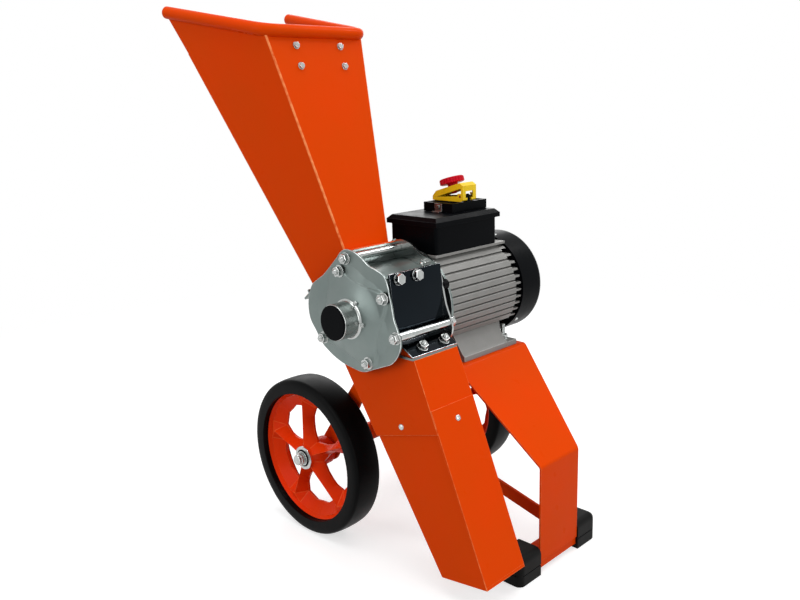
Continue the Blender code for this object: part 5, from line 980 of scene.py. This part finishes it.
    def _tyre(self) -> Form:
        """Build the tyre: a sharp inner lip, flat sides, tight shoulders and a softly crowned tread.

        Returns:
            The tyre.
        """
        bore, half, top = self.tyre_bore, self.tyre_half, WHEEL_RADIUS
        side: list[Pair] = [(bore, 0.0140), (bore - 0.0014, half - 0.0016), (bore - 0.0009, half - 0.0004),
                            (bore + 0.0006, half), (bore + 0.0100, half), (bore + 0.0138, half - 0.0003)]
        for step in range(ROUNDING_STEPS + 1):
            angle = pi / 2 * step / ROUNDING_STEPS
            side.append((top - self.crown - self.shoulder * (1 - sin(angle)),
                         half - 0.0007 - self.shoulder * (1 - cos(angle))))
        side.append((top - 0.0003, half * 0.45))
        profile = side + [(top, 0.0)] + [(radius, -y) for radius, y in reversed(side)]
        return Form().spun(profile, (0.0, 0.0), 144)


@dataclass
class AxleEnds:
    """The washers, nuts and threaded ends of the axle, a dark ring round each nut, and a dark disc on each end that is
    painted shade of a hole.
    """

    seat: float = 0.1913
    nut_seat: float = 0.0020
    dark_ring_seat: float = 0.0001
    hole_shade_seat: float = 0.0126

    def build(self) -> None:
        """Build both ends."""
        for side, prefix in ((-1, "near"), (1, "far")):
            out = Vector((0, side, 0))
            spot = Vector((0, side * self.seat, WHEEL_RADIUS))
            nut = Fastener(0.0180, 0.0066, 0.0115, 0.0012, 0.0062, 0.0030, turn=0.25)
            form = Form().seat(nut, spot + out * self.nut_seat, out).seat(Disc(0.0187, 0.0014, 0.0140), spot, out)
            form.made(prefix + "_axle_nut_set", Slot.STEEL, (prefix + "_axle_nut",), smooth=28)
            # A dark ring between the washers, and a dark disc on the stud's end as the painted shade of its hole.
            dark_ring_and_hole_shade = Form().seat(Disc(0.0138, 0.0018), spot + out * self.dark_ring_seat, out)
            dark_ring_and_hole_shade.seat(Disc(0.0036, 0.0010), spot + out * self.hole_shade_seat, out)
            dark_ring_and_hole_shade.made(prefix + "_axle_dark_ring_and_painted_hole_shade", Slot.DARK_CASTING, smooth=28)


@dataclass
class Motor:
    """Finned motor housing with its pad and feet; outlines in side view are about the motor's axis."""

    front_y: float = -0.078
    rear_y: float = 0.082
    bore: float = 0.0604
    core: float = 0.066
    core_step: float = 0.002
    core_front: float = -0.074
    core_rear: float = 0.072
    tip: float = 0.078
    fin: float = 0.0028
    pitch: float = 0.0105
    fins: tuple[int, int] = (-4, 6)
    full_rear: float = 0.070
    groove: float = 0.0042
    pad: tuple[Pair, ...] = ((-0.018, 0.061498), (0.018, 0.061498), (0.018, 0.069), (0.046, 0.069), (0.046, 0.073),
                             (-0.046, 0.073), (-0.046, 0.069), (-0.018, 0.069))
    web: tuple[Pair, ...] = ((0.026, -0.058), (0.034, -0.0727), (0.040, -0.0847), (0.080, -0.0847),
                             (0.080, -0.0767), (0.0755, -0.0727), (0.0575, -0.046), (0.052, -0.036))
    low_web: tuple[Pair, ...] = ((0.026, -0.058), (0.034, -0.0727), (0.040, -0.0847), (0.080, -0.0847),
                                 (0.080, -0.0767), (0.0505, -0.0767), (0.044, -0.046), (0.043, -0.038))
    foot_start: float = -0.057
    foot_end: float = 0.068
    pocket: float = 0.0235
    stud_spot: Triple = (0.0625, 0.0555, 0.3046)

    def build(self) -> None:
        """Build the housing with its feet, the fan cover, the ring and the rear foot studs."""
        self._housing().made("motor_casting", Slot.CAST, ("motor_housing", "motor_front_foot", "motor_rear_foot"),
                             smooth=28)
        FanCover().build()
        studs = Form()
        x, y, z = self.stud_spot
        for side in (-1, 1):
            studs.seat(Fastener(0.0134, 0.0064, 0.0085, 0.0008, 0.0036, 0.0165, turn=0.2),
                       Vector((AXIS_X + side * x, y, z)), Vector((0, 0, 1)))
        studs.made("foot_studs", Slot.STEEL, smooth=28)
        Form.of_node("motor_ring").bevelled(0.0004).made("motor_flange_ring", Slot.ZINC, ("motor_ring",), keep=True)

    def _housing(self) -> Form:
        """Build the core, its fins, the pad and the feet.

        Returns:
            The housing.
        """
        inner = self.core - self.core_step
        form = Form().spun([(self.bore, self.front_y), (inner, self.front_y), (self.core, self.core_front),
                            (self.core, self.core_rear), (inner, self.core_rear + 0.001), (inner, self.rear_y),
                            (self.bore, self.rear_y)], steps=96)
        first, last = self.fins
        for step in range(first, last + 1):
            for side in (-1, 1):
                form.add(self._fin(step * self.pitch, side))
        form.add(self._block(self.pad, 1, self.front_y, self.rear_y).bevelled(0.0005, 50))
        front, rear = self.foot_start + self.pocket, self.foot_end - self.pocket
        for side, runs in ((-1, ((self.web, front, rear), (self.low_web, self.foot_start, front),
                                 (self.low_web, rear, self.foot_end))),
                           (1, ((self.web, self.foot_start, rear), (self.low_web, rear, self.foot_end)))):
            for outline, low, high in runs:
                form.add(self._block(outline, side, low, high).bevelled(0.0008, 40))
        return form

    @staticmethod
    def _block(outline: Sequence[Pair], side: int, low: float, high: float) -> Form:
        """Extrude an outline about the motor's axis, on one side of it."""
        return Form().extruded([(AXIS_X + side * u, AXIS_Z + v) for u, v in outline], low, high)

    def _fin(self, height: float, side: int) -> Form:
        """Build one fin: broad at its root for most of its length, thin towards the fan cover.

        Args:
            height: Its middle over the motor's axis.
            side: 1 towards +X, -1 towards -X.

        Returns:
            The fin.
        """
        half, inner = self.fin / 2, self.core - 0.003
        root = (sqrt(inner ** 2 - height ** 2) if abs(height) < inner else 0.002) * 0.9
        form = Form()
        for flare, band, low, high in ((self.pitch * 0.5, self.pitch * 0.36, self.front_y, self.full_rear),
                                       (half * 1.2, half, self.full_rear - 0.001, self.rear_y)):
            lower, upper = (sqrt(self.tip ** 2 - min(abs(height + turn * band), self.tip) ** 2) for turn in (-1, 1))
            bed = [max(sqrt(max((self.tip - self.groove) ** 2 - (height + turn * flare) ** 2, 0.0)), root)
                   for turn in (-1, 1)]
            outline = [(root, height - flare), (bed[0], height - flare), (lower, height - band),
                       (upper, height + band), (bed[1], height + flare), (root, height + flare)]
            part = self._block(outline, side, low, high)
            bmesh.ops.remove_doubles(part.mesh, verts=part.mesh.verts, dist=1e-5)
            form.add(part.bevelled(0.0005))
        return form


@dataclass
class FanCover:
    """Pressed cover over the motor's fan, with radial slots in its end and its rim screws."""

    outer: float = 0.0804
    wall: float = 0.0018
    turn: float = 0.012
    front: float = 0.084
    rear: float = 0.138
    slot_inner: float = 0.024
    slot_outer: float = 0.062
    slot_pitch: float = 22.5
    slot_share: float = 0.75
    screw_reach: float = 0.0095
    screw_angles: tuple[float, ...] = (-42, 78, 198)

    def build(self) -> None:
        """Build the pressing and its screws."""
        profile: list[Pair] = [(self.outer, self.front), (self.outer, self.front + 0.004)]
        for step in range(ROUNDING_STEPS + 1):
            angle = pi / 2 * step / ROUNDING_STEPS
            profile.append((self.outer - self.turn * (1 - cos(angle)), self.rear - self.turn * (1 - sin(angle))))
        profile += [(radius, self.rear) for radius in (self.slot_outer, self.slot_inner, 0.012, 0.0)]
        form = Form().spun(profile, steps=128, closed=False)
        bmesh.ops.recalc_face_normals(form.mesh, faces=form.mesh.faces)
        bmesh.ops.delete(form.mesh, geom=[face for face in form.mesh.faces if self._is_slot(face)], context="FACES")
        end = [face for face in form.mesh.faces if face.calc_center_median().y > self.rear - 1e-5]
        if sum(face.normal.y for face in end) < 0:
            bmesh.ops.reverse_faces(form.mesh, faces=form.mesh.faces)
        bmesh.ops.solidify(form.mesh, geom=form.mesh.faces, thickness=self.wall)
        form.made("fan_cover_pressing", Slot.BLACK_PLASTIC, ("fan_cover",), smooth=40)
        screws = Form()
        for angle in map(radians, self.screw_angles):
            out = Vector((cos(angle), 0, sin(angle)))
            screws.seat(PanScrew(0.0035, 0.0016),
                        round_axis(self.outer - 0.0003, angle, self.front + self.screw_reach), out)
        screws.made("fan_cover_screws", Slot.STEEL)

    def _is_slot(self, face: bmesh.types.BMFace) -> bool:
        """Tell whether a face of the end lies in a slot.

        Args:
            face: A face of the pressing.

        Returns:
            Whether it is cut away.
        """
        middle = face.calc_center_median()
        away = Vector((middle.x - AXIS_X, middle.z - AXIS_Z))
        share = (degrees(atan2(away.y, away.x)) % self.slot_pitch) / self.slot_pitch
        return (self.slot_inner < away.length < self.slot_outer and middle.y > self.rear - 1e-5
                and share > self.slot_share)


@dataclass
class SwitchBox:
    """Electrical box, its lid, the switch mounting, the flap and the mushroom button."""

    copies: tuple[tuple[str, Slot, str, float, float], ...] = (
        ("capacitor_box", Slot.BLACK_PLASTIC, "machine", 0.0012, 0.0),
        ("box_lid", Slot.BLACK_PLASTIC, "machine", 0.0010, 0.0035),
        ("switch_body", Slot.BLACK_PLASTIC, "machine", 0.0005, 0.0),
        ("switch_clip", Slot.ZINC, "machine", 0.0002, 0.0),
        ("cable_gland", Slot.BLACK_PLASTIC, "machine", 0.0003, 0.0),
        ("emergency_flap", Slot.YELLOW, "flap", 0.0005, 0.0),
        ("stop_button", Slot.RED, "stop_push", 0.0006, 0.0),
        ("start_button", Slot.GREEN, "start_push", 0.0006, 0.0))
    slope: Triple = (-0.285477, 0.0, 0.958386)
    middle_y: float = 0.018
    cap: float = 0.009
    radius: float = 0.019
    stem: float = 0.008
    plunger: float = 0.004
    stem_foot: float = -0.0195
    flutes: int = 24
    flute_depth: float = 0.0011

    def build(self) -> None:
        """Build the box and what stands on it."""
        for node, slot, body, width, hang in self.copies:
            softened(node, "_moulding", slot, width, body=body, hang=hang)
        self._mushroom()

    def _mushroom(self) -> None:
        """Build the mushroom cap with its fluted edge, square on the flap's slope."""
        away, cap, radius = Vector(self.slope), self.cap, self.radius
        tops = [vertex.co for vertex in FRAME["nodes"]["stop_mushroom"].data.vertices]
        reach, foot = (pick(point.dot(away) for point in tops) for pick in (max, min))
        base = Vector((sum(point.x for point in tops) / len(tops), self.middle_y,
                       sum(point.z for point in tops) / len(tops)))
        profile = [(0.0, foot - reach), (self.plunger, foot - reach), (self.plunger, self.stem_foot),
                   (self.stem, self.stem_foot), (self.stem, -cap), (radius - 0.0022, -cap), (radius, -cap + 0.0010),
                   (radius, -0.0020), (radius - 0.0006, -0.0008), (radius - 0.0018, 0.0), (radius - 0.0045, 0.0),
                   (0.0, -0.0003)]
        form = Form().spun(profile, None, 96, closed=False)
        for vertex in form.mesh.verts:
            out = Vector((vertex.co.x, vertex.co.y))
            if out.length > radius - 0.0012 and vertex.co.z > -cap + 0.0008:
                flute = 0.5 + 0.5 * cos(self.flutes * atan2(out.y, out.x))
                out *= 1 - self.flute_depth * flute ** 2 / out.length
                vertex.co.x, vertex.co.y = out
        turn = Vector((0, 0, 1)).rotation_difference(away).to_matrix().to_4x4()
        place = Matrix.Translation(base + away * (reach - base.dot(away))) @ turn
        bmesh.ops.transform(form.mesh, matrix=place, verts=form.mesh.verts)
        form.made("stop_mushroom_cap", Slot.RED, ("stop_mushroom",), "mushroom", smooth=30)


@dataclass
class SheetWork:
    """Orange sheet metal: hopper, chute and stand, with rounded folds, and their screws."""

    copies: tuple[tuple[str, float], ...] = (
        ("hopper_lip", 0.0005), ("chute_upper", 0.0007), ("chute_lower", 0.0007), ("stand_frame", 0.0008))
    chute_face: tuple[Pair, Pair] = ((0.242, 0.335), (0.365, 0.042))
    chute_sides: Pair = (-0.1840, -0.0980)
    lap: tuple[Pair, ...] = ((0.0705, 0.0001), (0.0705, 0.0013), (0.3130, -0.0021), (0.3130, -0.0027),
                             (0.1030, -0.0024), (0.1030, 0.0001))
    lap_end_share: float = 0.955
    lap_screw: Pair = (0.092, -0.1395)
    side_screw: Triple = (0.214, -0.1845, 0.2338)
    throat_half: float = 0.0425
    flare: float = radians(8.92)
    inlet_tilt: float = radians(38.4)
    inlet_reach: float = 0.0815
    inlet_front: float = 0.0285
    inlet_rear: float = -0.0648
    rim_front: Pair = (0.021, 0.7695)
    rim_rear: Pair = (-0.185, 0.808)
    rim_radius: float = 0.009
    rim_bend: float = 0.018
    rear_drop: float = 0.065
    sheet: float = 0.002
    fold: float = 0.0022
    tuck: float = 0.004
    clamp_z: Pair = (0.722, 0.750)
    clamp_half: float = 0.0405
    mid_y: float = -0.141

    def build(self) -> None:
        """Build the sheets, the hopper's rim and the screws."""
        for node, width in self.copies:
            softened(node, "_sheet", Slot.ORANGE_PAINT, width, 25)
        self._hopper()
        self._rim()
        self._lap()
        self._screws()

    @property
    def _away(self) -> Vector:
        """Direction out of the inlet."""
        return Vector((-sin(self.inlet_tilt), 0.0, cos(self.inlet_tilt)))

    def _corner(self, spot: Vector, side: int) -> Vector:
        """Return the point of a side wall over a point of the side view.

        Args:
            spot: The point of the side view.
            side: -1 for the near wall, 1 for the far wall.

        Returns:
            The point.
        """
        rise = self._away.dot(spot - Vector((AXIS_X, 0.0, AXIS_Z))) - self.inlet_reach
        return Vector((spot.x, self.mid_y + side * (self.throat_half + tan(self.flare) * rise), spot.z))

    def _wall(self, flange_along: float, rim: Pair) -> tuple[Vector, Vector]:
        """Return the foot and the top of the hopper's front or rear wall in side view.

        Args:
            flange_along: Where the wall meets the inlet flange.
            rim: The rim tube's middle over the wall.

        Returns:
            The foot, just over the lip, and the top, just inside the rim tube.
        """
        along = Vector((cos(self.inlet_tilt), 0.0, sin(self.inlet_tilt)))
        start = Vector((AXIS_X, 0.0, AXIS_Z)) + along * flange_along
        start += self._away * (self.inlet_reach - 2 * self.sheet)
        top = Vector((rim[0], 0.0, rim[1] - self.rim_radius + self.tuck))
        return start.lerp(top, (3 * self.sheet + 2 * GAP) / self._away.dot(top - start)), top

    def _hopper(self) -> None:
        """Fold the hopper's four walls from one sheet, with rounded corners and a low rear wall."""
        front_foot, front_top = self._wall(self.inlet_front, self.rim_front)
        rear_foot, rear_top = self._wall(self.inlet_rear, self.rim_rear)
        step = rear_top + (rear_foot - rear_top).normalized() * self.rear_drop
        form = Form()
        spots = (front_foot, front_top, rear_top, step, rear_foot)
        near, far = ([form.mesh.verts.new(self._corner(spot, side)) for spot in spots] for side in (-1, 1))
        for corners in (near, far[::-1], (near[1], near[0], far[0], far[1]), (near[4], near[3], far[3], far[4])):
            form.mesh.faces.new(corners)
        bmesh.ops.recalc_face_normals(form.mesh, faces=form.mesh.faces)
        if sum(face.normal.z * face.calc_area() for face in form.mesh.faces) > 0:
            bmesh.ops.reverse_faces(form.mesh, faces=form.mesh.faces)
        form.bevelled(self.fold, 30, 4)
        bmesh.ops.solidify(form.mesh, geom=form.mesh.faces, thickness=self.sheet)
        walls = tuple("hopper_%s_wall" % wall for wall in ("near", "far", "front", "rear"))
        form.bevelled(0.0005, 60).made("hopper_sheet", Slot.ORANGE_PAINT, walls, smooth=35)

    def _rim_path(self) -> list[Vector]:
        """Return the middle line of the rim's tube, with its two bends.

        Returns:
            The points along it.
        """
        front, rear = (Vector((spot[0], 0.0, spot[1])) for spot in (self.rim_front, self.rim_rear))
        corners = [self._corner(spot, side) for spot, side in ((rear, -1), (front, -1), (front, 1), (rear, 1))]
        path = [corners[0]]
        for before, here, after in zip(corners, corners[1:], corners[2:]):
            back, ahead = (before - here).normalized(), (after - here).normalized()
            half = back.angle(ahead) / 2
            middle = here + (back + ahead).normalized() * self.rim_bend / sin(half)
            reach = self.rim_bend * cos(half) / sin(half)
            for step in range(11):
                arm = (here + back * reach - middle).lerp(here + ahead * reach - middle, step / 10)
                path.append(middle + arm.normalized() * self.rim_bend)
        return path + [corners[-1]]

    def _rim(self) -> None:
        """Sweep the rim's tube round three sides of the mouth, with domed ends."""
        path = self._rim_path()
        form = Form()
        loops = []
        for index, here in enumerate(path):
            lead = (path[min(index + 1, len(path) - 1)] - path[max(index - 1, 0)]).normalized()
            side = lead.cross(Vector((0, 0, 1))).normalized()
            turn = Matrix((side, side.cross(lead).normalized(), lead)).transposed().to_4x4()
            ring = bmesh.ops.create_circle(form.mesh, segments=28, radius=self.rim_radius,
                                           matrix=Matrix.Translation(here) @ turn)["verts"]
            loops.append([line for line in form.mesh.edges if line.verts[0] in ring and line.verts[1] in ring])
        for first, second in zip(loops, loops[1:]):
            bmesh.ops.bridge_loops(form.mesh, edges=first + second)
        for loop in (loops[0], loops[-1]):
            bmesh.ops.contextual_create(form.mesh, geom=loop)
        bmesh.ops.recalc_face_normals(form.mesh, faces=form.mesh.faces)
        form.bevelled(0.0022, 60, 4).made("hopper_rim_tube", Slot.ORANGE_PAINT, ("hopper_rim",), smooth=40)

    @property
    def _chute_slope(self) -> tuple[Vector, Vector, Vector]:
        """Find how the chute's front face lies.

        Returns:
            Its upper end, its direction down the chute and its outward normal.
        """
        top, end = (Vector((x, 0.0, z)) for x, z in self.chute_face)
        slope = (end - top).normalized()
        return top, slope, Vector((-slope.z, 0.0, slope.x))

    def _lap(self) -> None:
        """Lap the lower chute's front sheet over the upper one, thinning down its length."""
        start, slope, out = self._chute_slope
        corners = [start + slope * along + out * rise for along, rise in self.lap]
        form = Form().extruded([(point.x, point.z) for point in corners], *self.chute_sides)
        middle = sum(self.chute_sides) / 2
        for vertex in form.mesh.verts:
            if (Vector((vertex.co.x, 0.0, vertex.co.z)) - start).length > 0.2:
                vertex.co.y = middle + (vertex.co.y - middle) * self.lap_end_share
        form.bevelled(0.0003).made("chute_lap", Slot.ORANGE_PAINT)

    def _screws(self) -> None:
        """Build the screws of the chute and of the hopper's clamp."""
        start, slope, out = self._chute_slope
        along, y = self.lap_screw
        small = PanScrew(0.0046, 0.0024)
        screws = Form().seat(small, Vector(self.side_screw), NEAR)
        screws.seat(small, start + slope * along + out * 0.0008 + Vector((0.0, y, 0.0)), out)
        foot, top = self._wall(self.inlet_front, self.rim_front)
        rise = (top - foot).normalized()
        away = Vector((rise.z, 0.0, -rise.x))
        for z in self.clamp_z:
            for side in (-1, 1):
                spot = foot + rise * (z - foot.z) / rise.z + away * GAP
                spot.y = self.mid_y + side * self.clamp_half
                screws.seat(Fastener(0.0078, 0.0030, 0.0052, 0.0008, turn=0.5 + z * 40 + side), spot, away)
        screws.made("sheet_screws", Slot.STEEL, smooth=28)


@dataclass
class Feet:
    """Rubber feet with softened edges."""

    width: float = 0.0008

    def build(self) -> None:
        """Copy both feet."""
        for node in ("near_foot", "far_foot"):
            softened(node, "_rubber", Slot.RUBBER, self.width, 40)


@dataclass
class CarriedOver:
    """CAD nodes whose shape is right and which only take a finish."""

    nodes: tuple[tuple[Slot, str], ...] = (
        (Slot.STEEL, "axle hopper_clamp motor_bolt_1 motor_bolt_2 motor_bolt_3 motor_bolt_4 rotor_shaft cutter_rotor"
                     " knife_1 knife_2 front_bearing drive_bearing rear_bearing flap_pin"),
        (Slot.DARK_CASTING, "motor_end_shield rear_shield"), (Slot.BLACK_PLASTIC, "cooling_fan"),
        (Slot.RUBBER, "hopper_flap"), (Slot.ZINC, "run_capacitor"), (Slot.WINDING, "stator"))

    def build(self) -> None:
        """Give each node its finish."""
        for slot, names in self.nodes:
            for name in names.split():
                data = FRAME["nodes"][name].data
                data.materials.clear()
                data.materials.append(LOOKS[slot])
                log.info("%s: finished as %s", name, slot.value)


@dataclass
class Studio:
    """Camera, lights, world and floor."""

    focal: float = 831.23
    frame_width: int = 800
    azimuth: float = radians(44.51)
    elevation: float = radians(13.34)
    roll: float = radians(-1.57)
    place: Triple = (0.97657, -0.93942, 0.67498)
    shift: Pair = (-0.010375, -0.00625)
    sensor: float = 36.0
    aim: Triple = (0.08, -0.05, 0.40)
    lamps: tuple[tuple[str, Triple, float, float], ...] = (
        ("front softbox", (2.4, 0.0, 1.1), 1.6, 22.0),
        ("near softbox", (-0.4, -2.6, 1.2), 1.8, 23.0),
        ("top softbox", (0.2, -0.4, 2.8), 2.0, 30.0),
        ("rear softbox", (-1.8, 1.8, 1.6), 1.6, 20.0),
        ("far softbox", (0.7, 1.5, 2.1), 0.6, 13.0))
    ambient: float = 0.40
    bounce: float = 0.35
    floor_radius: float = 9.0
    floor_drop: float = 0.0004
    floor_tone: float = 0.6
    lift: float = 0.6
    fade: Pair = (0.9, 1.7)

    def build(self) -> None:
        """Set the stage."""
        bpy.context.scene.view_settings.view_transform = "Standard"
        self._camera()
        self._world()
        self._floor()
        for lamp in self.lamps:
            self._lamp(*lamp)

    def _camera(self) -> None:
        """Create the camera at the photograph's view."""
        a, e, r = self.azimuth, self.elevation, self.roll
        back = Vector((sin(a) * cos(e), -cos(a) * cos(e), sin(e)))
        right = (-back).cross(Vector((0, 0, 1))).normalized()
        up = right.cross(-back)
        data = bpy.data.cameras.new("view")
        data.sensor_width = self.sensor
        data.lens = self.focal / self.frame_width * self.sensor
        data.shift_x, data.shift_y = self.shift
        camera = bpy.data.objects.new("view", data)
        turn = Matrix((right * cos(r) + up * sin(r), up * cos(r) - right * sin(r), back)).transposed().to_4x4()
        camera.matrix_world = Matrix.Translation(self.place) @ turn
        bpy.context.scene.collection.objects.link(camera)
        bpy.context.scene.camera = camera

    def _world(self) -> None:
        """Light the scene softly, and show white to the camera and in reflections."""
        world = bpy.data.worlds.new("studio")
        nodes = Nodes(world)
        ambient = nodes.tree.nodes["Background"]
        nodes.fill(ambient, {"Color": WHITE, "Strength": self.ambient})
        shown = nodes.add("Background", "Background", {"Color": WHITE, "Strength": 1.0})
        mix = nodes.add("MixShader", "Shader", {"Fac": nodes.seen(), 1: ambient.outputs["Background"], 2: shown})
        nodes.fill(nodes.tree.nodes["World Output"], {"Surface": mix})
        bpy.context.scene.world = world

    def _floor(self) -> None:
        """Lay a white floor that keeps the machine's shadow."""
        mesh = bmesh.new()
        bmesh.ops.create_circle(mesh, cap_ends=True, segments=64, radius=self.floor_radius)
        data = bpy.data.meshes.new("floor")
        mesh.to_mesh(data)
        mesh.free()
        floor = bpy.data.objects.new("floor", data)
        floor.location.z = -self.floor_drop
        bpy.context.scene.collection.objects.link(floor)
        data.materials.append(self._floor_look())

    def _floor_look(self) -> bpy.types.Material:
        """Make the floor: white to the eye and in reflections, softer in what it throws back on the machine.

        Returns:
            The floor's material.
        """
        look = bpy.data.materials.new("white floor")
        nodes = Nodes(look)
        seen = nodes.seen()
        away = nodes.add("VectorMath", "Value", {0: nodes.add("TexCoord", "Object")}, operation="LENGTH")
        glow, tone = (nodes.spread(away, self.fade, onto, "SMOOTHSTEP")
                      for onto in ((self.lift, 1.0), (self.floor_tone, 0.0)))
        nodes.fill(nodes.tree.nodes["Principled BSDF"], {
            "Roughness": 0.9, "Specular IOR Level": 0.0, "Emission Color": WHITE,
            "Emission Strength": nodes.maths("MULTIPLY", seen, glow),
            "Base Color": nodes.add("Mix", "Result", {"Factor": seen, "A": self.bounce, "B": tone})})
        return look

    def _lamp(self, name: str, place: Triple, size: float, power: float) -> None:
        """Add a square soft light aimed at the machine.

        Args:
            name: The lamp's name.
            place: Where it stands.
            size: Its side.
            power: Its power in watts.
        """
        data = bpy.data.lights.new(name, "AREA")
        data.shape = "SQUARE"
        data.size = size
        data.energy = power
        lamp = bpy.data.objects.new(name, data)
        aim = Vector(self.aim) - Vector(place)
        lamp.matrix_world = Matrix.Translation(place) @ aim.to_track_quat("-Z", "Y").to_matrix().to_4x4()
        bpy.context.scene.collection.objects.link(lamp)


def main() -> None:
    """Build the shredder's looks."""
    logging.basicConfig(level=logging.INFO, format="%(name)s: %(message)s")
    FRAME.update(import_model())
    LOOKS.update({slot: finish.build() for slot, finish in FINISHES.items()})
    for part in (Studio(), CarriedOver(), FrontCover(), BearingTube(), TieStuds(), CutterHousing(), Wheel(1),
                 Wheel(-1), AxleEnds(), Motor(), SwitchBox(), SheetWork(), Feet()):
        part.build()


if __name__ == "__main__":
    main()
